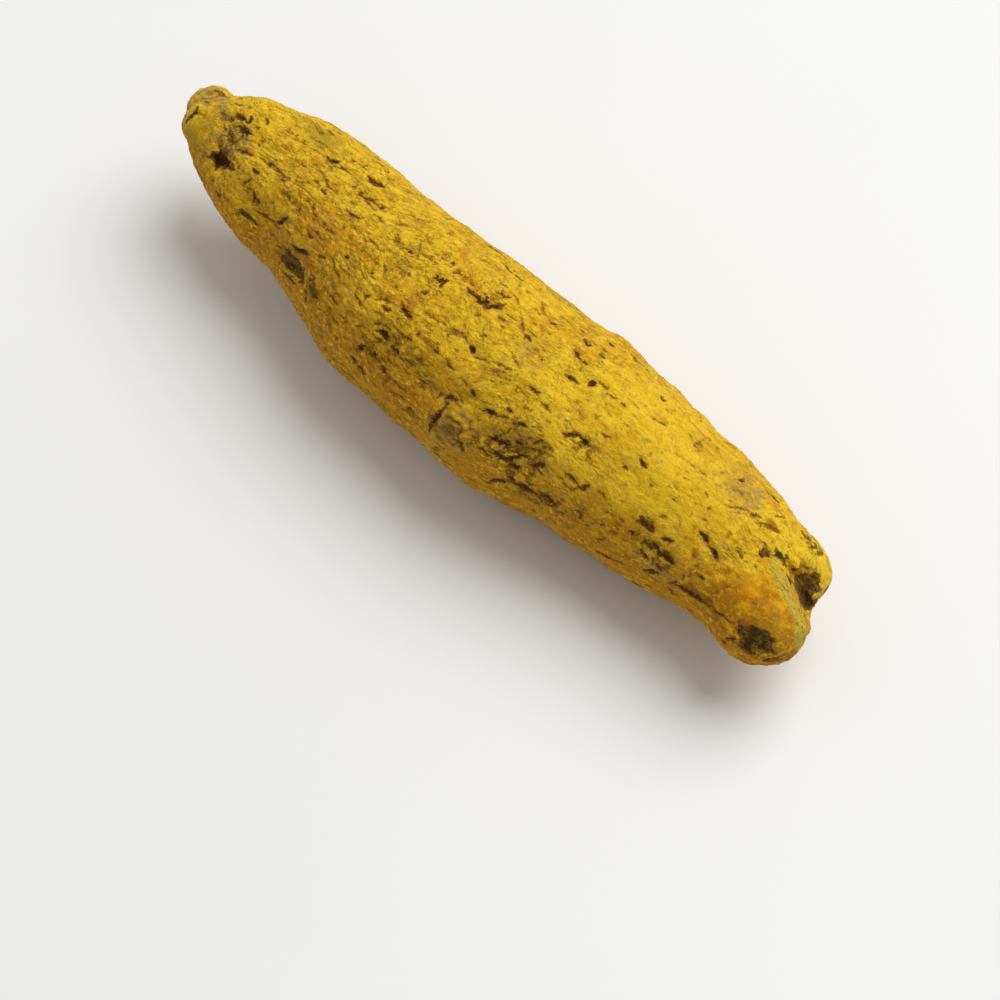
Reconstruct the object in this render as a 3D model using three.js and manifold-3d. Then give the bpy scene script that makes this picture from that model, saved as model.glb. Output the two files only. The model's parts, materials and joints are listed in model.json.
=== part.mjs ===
// A dried turmeric finger: a side root of the turmeric plant, boiled, dried and never polished.
// It grew as one piece, so it is one solid. Millimetres, +Z up.
// It lies on its side along X. The growing tip is at -X. The end at +X was snapped off the mother root,
// and has the stubs of two side buds with a hollow between them.
// The origin is on the surface it lies on, under the middle of its box.
import * as THREE from "three";
import { ImprovedNoise } from "three/addons/math/ImprovedNoise.js";
import { mergeVertices } from "three/addons/utils/BufferGeometryUtils.js";
import Module from "manifold-3d";

// Driving dimensions.
const bellyRadius = 6.2; // of the thickest stretch
const restCut = 0.32; // how far the belly is worn flat where it lies
const relief = [
  { depth: 0.34, along: 7, across: 4.6, shift: 3.7 }, // broad lumps
  { depth: 0.24, along: 8, across: 1.9, shift: 11.3 }, // lengthwise folds left by drying
  { depth: 0.1, along: 2.1, across: 1.2, shift: 23.1 }, // small roughness that the facets can still hold
];
const crackDepth = 0.62; // of a typical crack in the cork skin
const crackWidth = 0.46;
const crackStray = 0.17; // how far a crack wanders to either side of straight
const crackGap = 2.3; // least distance between the middles of two drawn cracks
const drawnLength = [1.2, 2.6]; // ranges that the drawn cracks are drawn from
const drawnTurn = [-22, 22];
const drawnWidth = [0.7, 1.1]; // as a share of the typical width
const drawnDepth = [0.65, 1.05];
const widthAlongCrack = [0.75, 1.2]; // how a crack's width and depth vary from step to step
const depthAlongCrack = [0.8, 1.15];
const crackEnd = 0.05; // share of the width and depth left at a crack's ends
const cutterLift = 0.35; // how far a crack's cutter stands out of the skin
const cutterFlare = 2.4; // most that the cutter widens above the skin
const triesPerCrack = 40;
const shortestEdge = 0.05;
const shortEdgePasses = 4;
const fewestNeighbours = 9; // of both ends of an edge that may be drawn together
const leastAgreement = 0.2; // between a facet's directions before and after
const seed = 20;

// The body's centre line and girth. Places are [along X, to the side Y, height Z].
const body = {
  path: [
    [-25.3, 0.5, 7.3],
    [-23, 0.62, 7.25],
    [-19, 0.74, 7.0],
    [-15, 0.8, 6.6],
    [-11, 0.4, 6.25],
    [-7, -0.12, 6.0],
    [-3, -0.16, bellyRadius - restCut],
    [1, -0.16, bellyRadius - restCut],
    [5, -0.12, bellyRadius - restCut],
    [9, 0.14, 5.75],
    [13, 0.26, 5.65],
    [17, 0.24, 5.6],
    [21, 0.2, 5.5],
    [25.2, -0.3, 5.4],
  ],
  radii: [2.1, 2.88, 4.22, 4.8, 5.4, 5.95, 6.2, bellyRadius, 6.15, 5.73, 5.23, 4.78, 4.15, 3.3],
  rings: 50,
  sides: 50,
  capRings: 4,
  cap: 0.075,
};

// The knob at the growing tip, the round cheek beside it, and the two stubs at the broken end.
const nub = {
  path: [[-26.4, 1.25, 7.4], [-24.7, 1.25, 7.35], [-22.2, 1.0, 7.1]],
  radii: [1.7, 1.85, 1.8],
  rings: 10,
  sides: 16,
  capRings: 3,
  cap: 0.3,
};
const cheek = {
  path: [[-25.35, -0.15, 7.95], [-24.0, -0.25, 8.25], [-21.8, 0.1, 8.0]],
  radii: [1.45, 1.65, 1.5],
  rings: 10,
  sides: 16,
  capRings: 3,
  cap: 0.35,
};
const frontStub = {
  path: [[18.9, -0.2, 5.8], [23.5, -1.75, 5.8], [27.3, -2.0, 5.75]],
  radii: [2.1, 3.15, 2.97],
  rings: 16,
  sides: 24,
  capRings: 6,
  cap: 0.4,
};
const backStub = {
  path: [[17.8, 1.1, 5.9], [22.7, 1.58, 6.0], [26.4, 1.78, 6.05]],
  radii: [3.0, 2.6, 2.1],
  rings: 13,
  sides: 18,
  capRings: 4,
  cap: 0.35,
};

// Marks on the skin. Round is in degrees about X: 0 is the far side, 90 the top, 180 the near side.
const knobs = [
  { along: 3.3, round: 157, reach: 1.7, height: 0.6 },
  { along: 7.8, round: 143, reach: 2.4, height: 0.3 },
  { along: -9.6, round: 148, reach: 1.9, height: 0.3 },
  { along: 20.8, round: 48, reach: 3.8, height: 0.42 },
  { along: -20.6, round: 64, reach: 2.0, height: 0.46 },
  { along: 12.5, round: 340, reach: 1.8, height: 0.5 },
  { along: -4.5, round: 318, reach: 2.1, height: 0.55 },
  { along: -15.5, round: 232, reach: 1.7, height: 0.5 },
  { along: 16.5, round: 262, reach: 1.7, height: 0.4 },
];
const scars = [
  { along: -11.3, round: 151, reach: 1.3, depth: 0.3 },
  { along: 7.9, round: 144, reach: 1.9, depth: 0.35 },
  { along: 3.5, round: 158, reach: 0.7, depth: 0.3 },
  { along: -4.6, round: 319, reach: 1.1, depth: 0.4 },
  { along: 12.6, round: 339, reach: 0.9, depth: 0.35 },
  { along: -15.4, round: 231, reach: 0.9, depth: 0.4 },
];
const scarRim = { height: 0.5, width: 0.35, floor: 0.7 }; // as shares of the scar's depth and reach
const leafRings = [-17.6, -12.6, -1.2, 5.4, 14.2, 18.4]; // faint rings where scale leaves sat
const leafRingHeight = 0.12;
const leafRingWidth = 0.5;
const leafRingTilt = 0.9;

// Hollows deeper than a scar, cut as rounded pits: [length, width, depth] are full sizes.
const hollows = [
  { along: -20.4, round: 122, size: [1.4, 1.2, 1.8] },
  { along: 25.0, round: 160, size: [2.4, 1.5, 1.5] },
  { along: 25.0, round: 52, size: [1.5, 1.3, 2.2] },
  { along: -11.6, round: 152, size: [1.9, 0.8, 0.9] },
];
// The cleft between the two stubs. Its flat side is the face where the finger was snapped off.
const cleft = {
  centre: [25.3, -0.8, 8.1],
  along: [0.83, -0.35, -0.44],
  facing: [0.55, 0.69, 0.47],
  size: [5.0, 1.7, 4.8],
  bottomWidth: 0.45, // as a share of the width at the mouth
  innerWidth: 0.3, // as a share of the width at the open end
};
// Where the stubs and the tip's knobs grow out of the body, the joins are softened.
const softEnds = [{ from: 17, to: 20, most: 0.5 }, { from: -20.5, to: -22.5, most: 0.14 }];
const softPasses = 5;

// Cracks placed by hand, where the largest ones are. Turn is from lengthwise, in degrees.
const mainCracks = [
  { along: -2.8, round: 137, length: 2.9, turn: -4 },
  { along: 0.2, round: 82, length: 2.8, turn: 8 },
  { along: -5.8, round: 91, length: 2.0, turn: -6 },
  { along: -11.3, round: 66, length: 1.9, turn: 4 },
  { along: -14.3, round: 74, length: 1.4, turn: 14 },
  { along: 18.1, round: 148, length: 2.3, turn: -6 },
  { along: 20.0, round: 121, length: 2.6, turn: -18 },
  { along: 16.6, round: 136, length: 1.7, turn: -10 },
  { along: 9.7, round: 163, length: 3.2, turn: 6 },
  { along: 7.0, round: 150, length: 2.4, turn: 34 },
  { along: 7.9, round: 143, length: 2.6, turn: 36 },
  { along: 8.9, round: 136, length: 2.2, turn: 34 },
  { along: 10.7, round: 117, length: 1.9, turn: 32 },
  { along: 2.3, round: 146, length: 2.0, turn: -52 },
  { along: -20.9, round: 100, length: 1.6, turn: -40 },
  { along: -21.4, round: 88, length: 1.3, turn: 70 },
  { along: -19.2, round: 116, length: 1.5, turn: 30 },
  { along: -14.2, round: 127, length: 1.6, turn: 40, width: 0.36, depth: 0.45 },
  { along: -11.7, round: 134, length: 2.1, turn: 13 },
  { along: -4.3, round: 154, length: 2.0, turn: 5 },
  { along: -4.6, round: 168, length: 1.5, turn: -15 },
  { along: -2.1, round: 161, length: 2.6, turn: -25, width: 0.4 },
  { along: -1.1, round: 183, length: 1.5, turn: -6, width: 0.4 },
  { along: -0.7, round: 53, length: 2.1, turn: -8, width: 0.34, depth: 0.45 },
  { along: 4.9, round: 136, length: 1.5, turn: 5 },
  { along: 12.2, round: 164, length: 1.4, turn: -15 },
];
const flankFold = { along: 21.0, round: 168, length: 5.2, turn: -4, width: 0.8, depth: 0.7, steps: 7 };

// Stretches of skin where the other cracks are drawn from the seed.
const crackZones = [
  { along: [-22, -12], round: [20, 200], count: 15 },
  { along: [-12, 2], round: [20, 200], count: 22 },
  { along: [2, 14], round: [20, 200], count: 15 },
  { along: [14, 23], round: [20, 200], count: 7 },
  { along: [-22, 0], round: [200, 380], count: 14 },
  { along: [0, 22], round: [200, 380], count: 12 },
];

const { clamp, degToRad, mapLinear, seededRandom } = THREE.MathUtils;
const noise = new ImprovedNoise();
const wasm = await Module();
wasm.setup();

const draw = (low, high) => mapLinear(seededRandom(), 0, 1, low, high);
const bell = (x) => Math.exp(-x * x);
const turnBetween = (a, b) => Math.atan2(Math.sin(a - b), Math.cos(a - b));
const outward = (round) => new THREE.Vector3(0, Math.cos(round), Math.sin(round));

// How far the skin stands out at a point of the smooth form.
function unevenness(p) {
  const wave = ({ depth, along, across, shift }) =>
    depth * noise.noise(p.x / along + shift, p.y / across - shift, p.z / across + 2 * shift);
  return relief.reduce((rise, size) => rise + wave(size), 0);
}

// How far the marks raise or sink the skin of the body, at a place along it and round it.
function marks(along, round, radius) {
  const away = (mark) =>
    Math.hypot(along - mark.along, turnBetween(round, degToRad(mark.round)) * radius) / mark.reach;
  let rise = 0;
  for (const knob of knobs) rise += knob.height * bell(away(knob));
  for (const scar of scars) {
    const d = away(scar);
    rise += scar.depth * (scarRim.height * bell((d - 1) / scarRim.width) - bell(d / scarRim.floor));
  }
  for (const ring of leafRings) {
    const d = along - ring - leafRingTilt * Math.cos(round + ring);
    rise += leafRingHeight * bell(d / leafRingWidth);
  }
  return rise;
}

// A closed skin round a curved centre line, with a rounded cap at each end.
function swelling({ path, radii, rings, sides, capRings, cap }, marksOn) {
  const line = new THREE.CatmullRomCurve3(path.map((p) => new THREE.Vector3(...p)), false, "catmullrom");
  const girth = new THREE.CatmullRomCurve3(radii.map((r) => new THREE.Vector3(r, 0, 0)), false, "catmullrom");
  const capShare = capRings / rings;
  const geometry = new THREE.SphereGeometry(1, sides, rings);
  const position = geometry.attributes.position;
  const uv = geometry.attributes.uv;
  for (let i = 0; i < position.count; i += 1) {
    const fromStart = 1 - uv.getY(i);
    const toEnd = Math.min(fromStart, 1 - fromStart);
    const swing = Math.min(1, toEnd / capShare) * (Math.PI / 2);
    const inCap = cap * (1 - Math.cos(swing));
    const share = toEnd < capShare ? inCap : mapLinear(toEnd, capShare, 0.5, cap, 0.5);
    const t = fromStart < 0.5 ? share : 1 - share;
    const pole = toEnd < 1e-6;
    const round = Math.PI * (1 - 2 * (pole ? 0 : uv.getX(i)));
    const radius = girth.getPoint(t).x * Math.sin(swing);
    const centre = line.getPoint(t);
    const smooth = centre.clone().addScaledVector(outward(round), radius);
    const rise = unevenness(smooth) + (marksOn ? marks(centre.x, round, radius) : 0);
    smooth.addScaledVector(outward(round), pole ? 0 : rise * Math.sin(swing));
    position.setXYZ(i, smooth.x, smooth.y, smooth.z);
  }
  return geometry;
}

function solidOf(geometry) {
  const bare = geometry.clone();
  bare.deleteAttribute("normal");
  bare.deleteAttribute("uv");
  const merged = mergeVertices(bare, 1e-4);
  return new wasm.Manifold(
    new wasm.Mesh({
      numProp: 3,
      vertProperties: merged.attributes.position.array,
      triVerts: new Uint32Array(merged.index.array),
    }),
  );
}

function geometryOf(solid) {
  const mesh = solid.getMesh();
  return new THREE.BufferGeometry()
    .setAttribute("position", new THREE.BufferAttribute(mesh.vertProperties, 3))
    .setIndex(new THREE.BufferAttribute(mesh.triVerts, 1));
}

// Evens out the skin towards both ends, where it grows out into the stubs and the knobs of the tip.
function softened(geometry) {
  const position = geometry.attributes.position;
  const index = geometry.index.array;
  const neighbours = Array.from({ length: position.count }, () => new Set());
  for (let i = 0; i < index.length; i += 3) {
    for (let k = 0; k < 3; k += 1) {
      neighbours[index[i + k]].add(index[i + ((k + 1) % 3)]).add(index[i + ((k + 2) % 3)]);
    }
  }
  for (let pass = 0; pass < softPasses; pass += 1) {
    const before = Array.from(neighbours, (_, i) => new THREE.Vector3().fromBufferAttribute(position, i));
    neighbours.forEach((around, i) => {
      const inside = ({ from, to }) => clamp(mapLinear(before[i].x, from, to, 0, 1), 0, 1);
      const share = Math.max(...softEnds.map((end) => end.most * inside(end)));
      const middle = new THREE.Vector3();
      for (const j of around) middle.addScaledVector(before[j], 1 / around.size);
      const moved = before[i].clone().lerp(middle, share);
      position.setXYZ(i, moved.x, moved.y, moved.z);
    });
  }
  return geometry;
}

// Draws the ends of every edge shorter than the limit together, wherever the skin stays closed.
// The cuts leave such edges where they pass close to a corner of a facet.
function withoutShortEdges(geometry, limit) {
  const points = [];
  const position = geometry.attributes.position;
  for (let i = 0; i < position.count; i += 1) {
    points.push(new THREE.Vector3().fromBufferAttribute(position, i));
  }
  const faces = [];
  const facesOf = points.map(() => new Set());
  for (let i = 0; i < geometry.index.count; i += 3) {
    const face = [0, 1, 2].map((k) => geometry.index.getX(i + k));
    for (const corner of face) facesOf[corner].add(faces.length);
    faces.push(face);
  }
  const neighbours = (a) => new Set([...facesOf[a]].flatMap((f) => faces[f]).filter((b) => b !== a));
  const normalOf = (face) => {
    const triangle = new THREE.Triangle(...face.map((corner) => points[corner]));
    return triangle.getNormal(new THREE.Vector3());
  };
  const drawTogether = (a, b) => {
    const [beside, besideOther] = [neighbours(a), neighbours(b)];
    const shared = [...beside].filter((c) => besideOther.has(c));
    if (shared.length !== 2 || beside.size + besideOther.size < fewestNeighbours) return false;
    const moving = [...facesOf[b]].filter((f) => !faces[f].includes(a));
    const turned = moving.some((f) => {
      const swapped = faces[f].map((c) => (c === b ? a : c));
      return normalOf(swapped).dot(normalOf(faces[f])) < leastAgreement;
    });
    if (turned) return false;
    for (const f of [...facesOf[b]]) {
      if (faces[f].includes(a)) {
        for (const corner of faces[f]) facesOf[corner].delete(f);
        faces[f] = null;
      } else {
        faces[f] = faces[f].map((c) => (c === b ? a : c));
        facesOf[a].add(f);
      }
    }
    facesOf[b].clear();
    return true;
  };
  for (let pass = 0; pass < shortEdgePasses; pass += 1) {
    for (let f = 0; f < faces.length; f += 1) {
      for (let k = 0; k < 3 && faces[f]; k += 1) {
        const [a, b] = [faces[f][k], faces[f][(k + 1) % 3]];
        if (points[a].distanceTo(points[b]) < limit && !drawTogether(a, b)) drawTogether(b, a);
      }
    }
  }
  const kept = faces.filter((face) => face);
  const tidy = new THREE.BufferGeometry().setFromPoints(kept.flat().map((corner) => points[corner]));
  return mergeVertices(tidy, 1e-5);
}

// The skin's point and outward normal, looking in along a line, or nothing where the line misses.
function skinFinder(solid) {
  const skin = new THREE.Mesh(geometryOf(solid), new THREE.MeshBasicMaterial());
  const ray = new THREE.Raycaster();
  return (from, direction) => {
    ray.set(from, direction.clone().normalize());
    const hit = ray.intersectObject(skin)[0];
    return hit && { point: hit.point, normal: hit.face.normal };
  };
}

// The skin at a place along the root and round it.
function skinAt(find, along, roundDegrees) {
  const out = outward(degToRad(roundDegrees));
  const centre = new THREE.Vector3(along, 0, bellyRadius - restCut);
  const seen = find(centre.clone().addScaledVector(out, 3 * bellyRadius), out.clone().negate());
  return { point: seen.point, normal: out };
}

// A crack's cutter: a crooked V-shaped wedge that follows the skin and runs out at both ends.
function crackCutter(find, crack) {
  const { length, turn, width = crackWidth, depth = crackDepth, steps = length > 2 ? 5 : 4 } = crack;
  const middle = skinAt(find, crack.along, crack.round);
  const heading = new THREE.Vector3(1, 0, 0).applyAxisAngle(middle.normal, degToRad(turn));
  const across = new THREE.Vector3().crossVectors(middle.normal, heading).normalize();
  const points = [];
  for (let i = 0; i < steps; i += 1) {
    const share = i / (steps - 1);
    const fullness = Math.sin(Math.PI * share);
    const stray = i % (steps - 1) ? draw(-crackStray, crackStray) : 0;
    const above = middle.point
      .clone()
      .addScaledVector(heading, (share - 0.5) * length)
      .addScaledVector(across, stray)
      .addScaledVector(middle.normal, bellyRadius / 3);
    const seen = find(above, middle.normal.clone().negate());
    if (!seen) return null;
    const open = (width * draw(...widthAlongCrack) * Math.max(fullness, crackEnd)) / 2;
    const deep = depth * draw(...depthAlongCrack) * Math.max(fullness, crackEnd);
    const spread = open * Math.min((deep + cutterLift) / deep, cutterFlare);
    const top = seen.point.clone().addScaledVector(middle.normal, cutterLift);
    points.push(top.clone().addScaledVector(across, spread));
    points.push(top.clone().addScaledVector(across, -spread));
    points.push(seen.point.clone().addScaledVector(middle.normal, -deep));
  }
  const faces = [0, 2, 1];
  for (let i = 0; i + 1 < steps; i += 1) {
    for (let k = 0; k < 3; k += 1) {
      const [a, b] = [3 * i + k, 3 * i + ((k + 1) % 3)];
      faces.push(a, b, a + 3, b, b + 3, a + 3);
    }
  }
  const last = 3 * (steps - 1);
  faces.push(last, last + 1, last + 2);
  const geometry = new THREE.BufferGeometry().setFromPoints(points).setIndex(faces);
  const solid = solidOf(geometry);
  return solid.volume() > 0 ? solid : null;
}

// Crack places drawn from the seed, zone by zone, that keep their distance from each other.
function drawnCracks() {
  seededRandom(seed);
  const chosen = [...mainCracks, flankFold];
  const apart = (a, b) =>
    Math.hypot(a.along - b.along, turnBetween(degToRad(a.round), degToRad(b.round)) * bellyRadius);
  for (const zone of crackZones) {
    let left = zone.count;
    for (let attempt = 0; attempt < triesPerCrack * zone.count && left > 0; attempt += 1) {
      const crack = {
        along: draw(...zone.along),
        round: draw(...zone.round),
        length: draw(...drawnLength),
        turn: draw(...drawnTurn),
        width: crackWidth * draw(...drawnWidth),
        depth: crackDepth * draw(...drawnDepth),
      };
      if (chosen.every((other) => apart(crack, other) > crackGap)) {
        chosen.push(crack);
        left -= 1;
      }
    }
  }
  return chosen;
}

function pitCutter(centre, direction, [long, wide, deep]) {
  const ball = new THREE.SphereGeometry(0.5, 10, 8);
  ball.scale(long, wide, deep);
  const upright = new THREE.Quaternion().setFromUnitVectors(new THREE.Vector3(0, 0, 1), direction);
  ball.applyQuaternion(upright);
  ball.translate(centre.x, centre.y, centre.z);
  return solidOf(ball);
}

function cleftCutter({ centre, along, facing, size, bottomWidth, innerWidth }) {
  const [long, wide, deep] = size;
  const wedge = new THREE.BoxGeometry(long, wide, deep);
  wedge.translate(0, wide / 2, 0);
  const position = wedge.attributes.position;
  for (let i = 0; i < position.count; i += 1) {
    if (position.getZ(i) < 0) position.setY(i, position.getY(i) * bottomWidth);
    if (position.getX(i) < 0) position.setY(i, position.getY(i) * innerWidth);
  }
  const x = new THREE.Vector3(...along).normalize();
  const y = new THREE.Vector3(...facing).normalize();
  const z = new THREE.Vector3().crossVectors(x, y).normalize();
  wedge.applyMatrix4(new THREE.Matrix4().makeBasis(x, y.crossVectors(z, x), z));
  wedge.translate(...centre);
  return solidOf(wedge);
}

// The part below the surface it lies on, which is cut away to leave a small flat.
function underFloor() {
  const side = 20 * bellyRadius;
  const slab = new THREE.BoxGeometry(side, side, side);
  slab.translate(0, 0, -side / 2);
  return solidOf(slab.toNonIndexed());
}

function turmericRoot() {
  let root = solidOf(swelling(body, true));
  for (const lump of [nub, cheek, frontStub, backStub]) root = root.add(solidOf(swelling(lump, false)));
  root = solidOf(softened(withoutShortEdges(geometryOf(root), shortestEdge)));
  const find = skinFinder(root);
  const cutters = [underFloor(), cleftCutter(cleft)];
  for (const { along, round, size } of hollows) {
    const at = skinAt(find, along, round);
    cutters.push(pitCutter(at.point, at.normal, size));
  }
  for (const crack of drawnCracks()) {
    const cutter = crackCutter(find, crack);
    if (cutter) cutters.push(cutter);
  }
  return root.subtract(wasm.Manifold.union(cutters));
}

const geometry = withoutShortEdges(geometryOf(turmericRoot()), shortestEdge);
geometry.computeBoundingBox();
const { min, max } = geometry.boundingBox;
geometry.translate(-(min.x + max.x) / 2, -(min.y + max.y) / 2, -min.z);
geometry.computeVertexNormals();

const skin = new THREE.MeshStandardMaterial({ color: 0xc4921f, roughness: 0.95, metalness: 0 });
const root = new THREE.Mesh(geometry, skin);
root.name = "turmeric_root";
const part = new THREE.Group();
part.add(root);
export default part;
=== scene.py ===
import json
import math

import bpy
import numpy as np
from mathutils import Matrix, Vector, noise

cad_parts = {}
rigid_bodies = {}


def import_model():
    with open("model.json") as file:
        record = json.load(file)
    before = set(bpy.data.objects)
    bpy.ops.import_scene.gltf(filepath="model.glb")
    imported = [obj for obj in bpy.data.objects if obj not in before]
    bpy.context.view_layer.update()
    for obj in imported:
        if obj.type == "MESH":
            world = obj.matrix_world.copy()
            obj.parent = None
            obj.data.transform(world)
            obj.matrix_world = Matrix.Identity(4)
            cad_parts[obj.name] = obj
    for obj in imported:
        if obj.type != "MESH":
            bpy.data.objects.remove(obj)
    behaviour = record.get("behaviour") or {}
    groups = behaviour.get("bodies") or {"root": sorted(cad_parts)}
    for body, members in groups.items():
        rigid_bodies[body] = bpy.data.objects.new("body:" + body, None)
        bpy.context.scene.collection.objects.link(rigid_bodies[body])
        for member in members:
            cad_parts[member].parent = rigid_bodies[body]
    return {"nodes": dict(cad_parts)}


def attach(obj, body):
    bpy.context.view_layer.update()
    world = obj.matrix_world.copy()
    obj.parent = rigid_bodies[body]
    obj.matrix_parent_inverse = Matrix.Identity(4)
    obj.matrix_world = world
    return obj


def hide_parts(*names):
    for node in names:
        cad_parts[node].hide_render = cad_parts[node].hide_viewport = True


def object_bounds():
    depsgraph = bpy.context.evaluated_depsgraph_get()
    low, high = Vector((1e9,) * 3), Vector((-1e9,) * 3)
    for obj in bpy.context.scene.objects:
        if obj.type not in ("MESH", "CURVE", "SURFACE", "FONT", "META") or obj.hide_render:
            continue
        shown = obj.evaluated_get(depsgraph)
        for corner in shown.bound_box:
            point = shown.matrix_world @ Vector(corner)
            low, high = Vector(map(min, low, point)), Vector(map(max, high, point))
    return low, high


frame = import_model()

cadBox = [list(corner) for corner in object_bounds()]
mm = 0.001

# A dried turmeric finger lying on a pale table. +X runs along the root, from the tip to the snapped end.
# The skin is shaped in millimetres and put back into the frame's metres when it is done.

# Camera first: a 100 mm lens about 17 cm away, looking down on the near side
view = {
    "azimuth": 43.0,
    "elevation": 60.0,
    "distanceMm": 169.52,
    "lens": 100.0,
    "sensorMm": 36.0,
    "imageSize": 1000,
    "aimMm": (1.77, 0.0, 6.5),  # the point of the root that the picture hangs on
    "aimPixel": (503, 375),  # and where the photograph has it
}


def placeCamera():
    azimuth = math.radians(view["azimuth"])
    elevation = math.radians(view["elevation"])
    level = Vector((math.sin(azimuth), -math.cos(azimuth), 0)) * math.cos(elevation)
    back = level + Vector((0, 0, math.sin(elevation)))
    right = Vector((math.cos(azimuth), math.sin(azimuth), 0))
    up = back.cross(right)
    pixelMm = view["sensorMm"] / view["lens"] / view["imageSize"] * view["distanceMm"]
    acrossMm = (view["aimPixel"][0] - view["imageSize"] / 2) * pixelMm
    upMm = (view["imageSize"] / 2 - view["aimPixel"][1]) * pixelMm
    place = Vector(view["aimMm"]) + back * view["distanceMm"] - right * acrossMm - up * upMm
    bpy.ops.object.camera_add(location=place * mm)
    camera = bpy.context.object
    camera.name = "tableCamera"
    camera.rotation_euler = Matrix((right, up, back)).transposed().to_euler()
    camera.data.lens = view["lens"]
    camera.data.sensor_width = view["sensorMm"]
    camera.data.clip_start = 0.01
    camera.data.clip_end = 10
    bpy.context.scene.camera = camera
    print("camera placed")


placeCamera()


def selectOnly(piece):
    bpy.ops.object.select_all(action="DESELECT")
    piece.select_set(True)
    bpy.context.view_layer.objects.active = piece


def applyModifier(piece, kind, **settings):
    selectOnly(piece)
    modifier = piece.modifiers.new(kind.lower(), kind)
    for setting, value in settings.items():
        setattr(modifier, setting, value)
    bpy.ops.object.modifier_apply(modifier=modifier.name)


def addNode(tree, kind, inputs=None, **settings):
    node = tree.nodes.new(kind)
    for setting, value in settings.items():
        setattr(node, setting, value)
    for socket, value in (inputs or {}).items():
        if isinstance(value, bpy.types.NodeSocket):
            tree.links.new(value, node.inputs[socket])
        else:
            node.inputs[socket].default_value = value
    return node


def linearColour(hexColour):
    parts = [int(hexColour[i:i + 2], 16) / 255 for i in (1, 3, 5)]
    return [p / 12.92 if p <= 0.04045 else ((p + 0.055) / 1.055) ** 2.4 for p in parts] + [1.0]


# Skin of the root: the solid's form, meshed finely enough for wrinkles, scales and cracks
skinSizes = {
    "voxelMm": 0.158,  # keeps the piece under 200,000 triangles
    "bendMm": 1.3,  # how far the lie of the wrinkles and splits wanders
    "bendSizeMm": 6.5,
    "swellMm": 0.14,  # broad unevenness between the folds
    "swellSizeMm": 2.6,
    "wrinkleMm": 0.1,  # lengthwise wrinkles from drying
    "wrinkleLongMm": 3.8,
    "wrinkleWideMm": 0.8,
    "scaleMm": 0.055,  # height of the cork scales' raised edges
    "scaleLongMm": 2.4,
    "scaleWideMm": 0.85,
    "scaleSteps": 2.4,
    "splitMm": 0.12,  # depth of the soft dints left where the skin nearly split
    "splitLongMm": 3.2,
    "splitWideMm": 0.44,
    "splitFrom": 0.46,  # in units of the noise that draws them: higher makes them fewer
    "splitClose": 0.21,  # how much lower that is where they lie close together
    "grainMm": 0.034,
    "grainSizeMm": 0.36,
    "raggedMm": 0.045,  # sideways raggedness of every crack's edges
    "raggedSizeMm": 0.5,
    "paintedLightWay": (0.3, 0.5, 0.8),  # the way the light comes from: the side turned from it gets a painted shade, and crack walls facing it a painted light
    "restMm": 0.5,  # below this height the relief fades out, so the flat it lies on stays flat
    "seed": 20,
}

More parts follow.
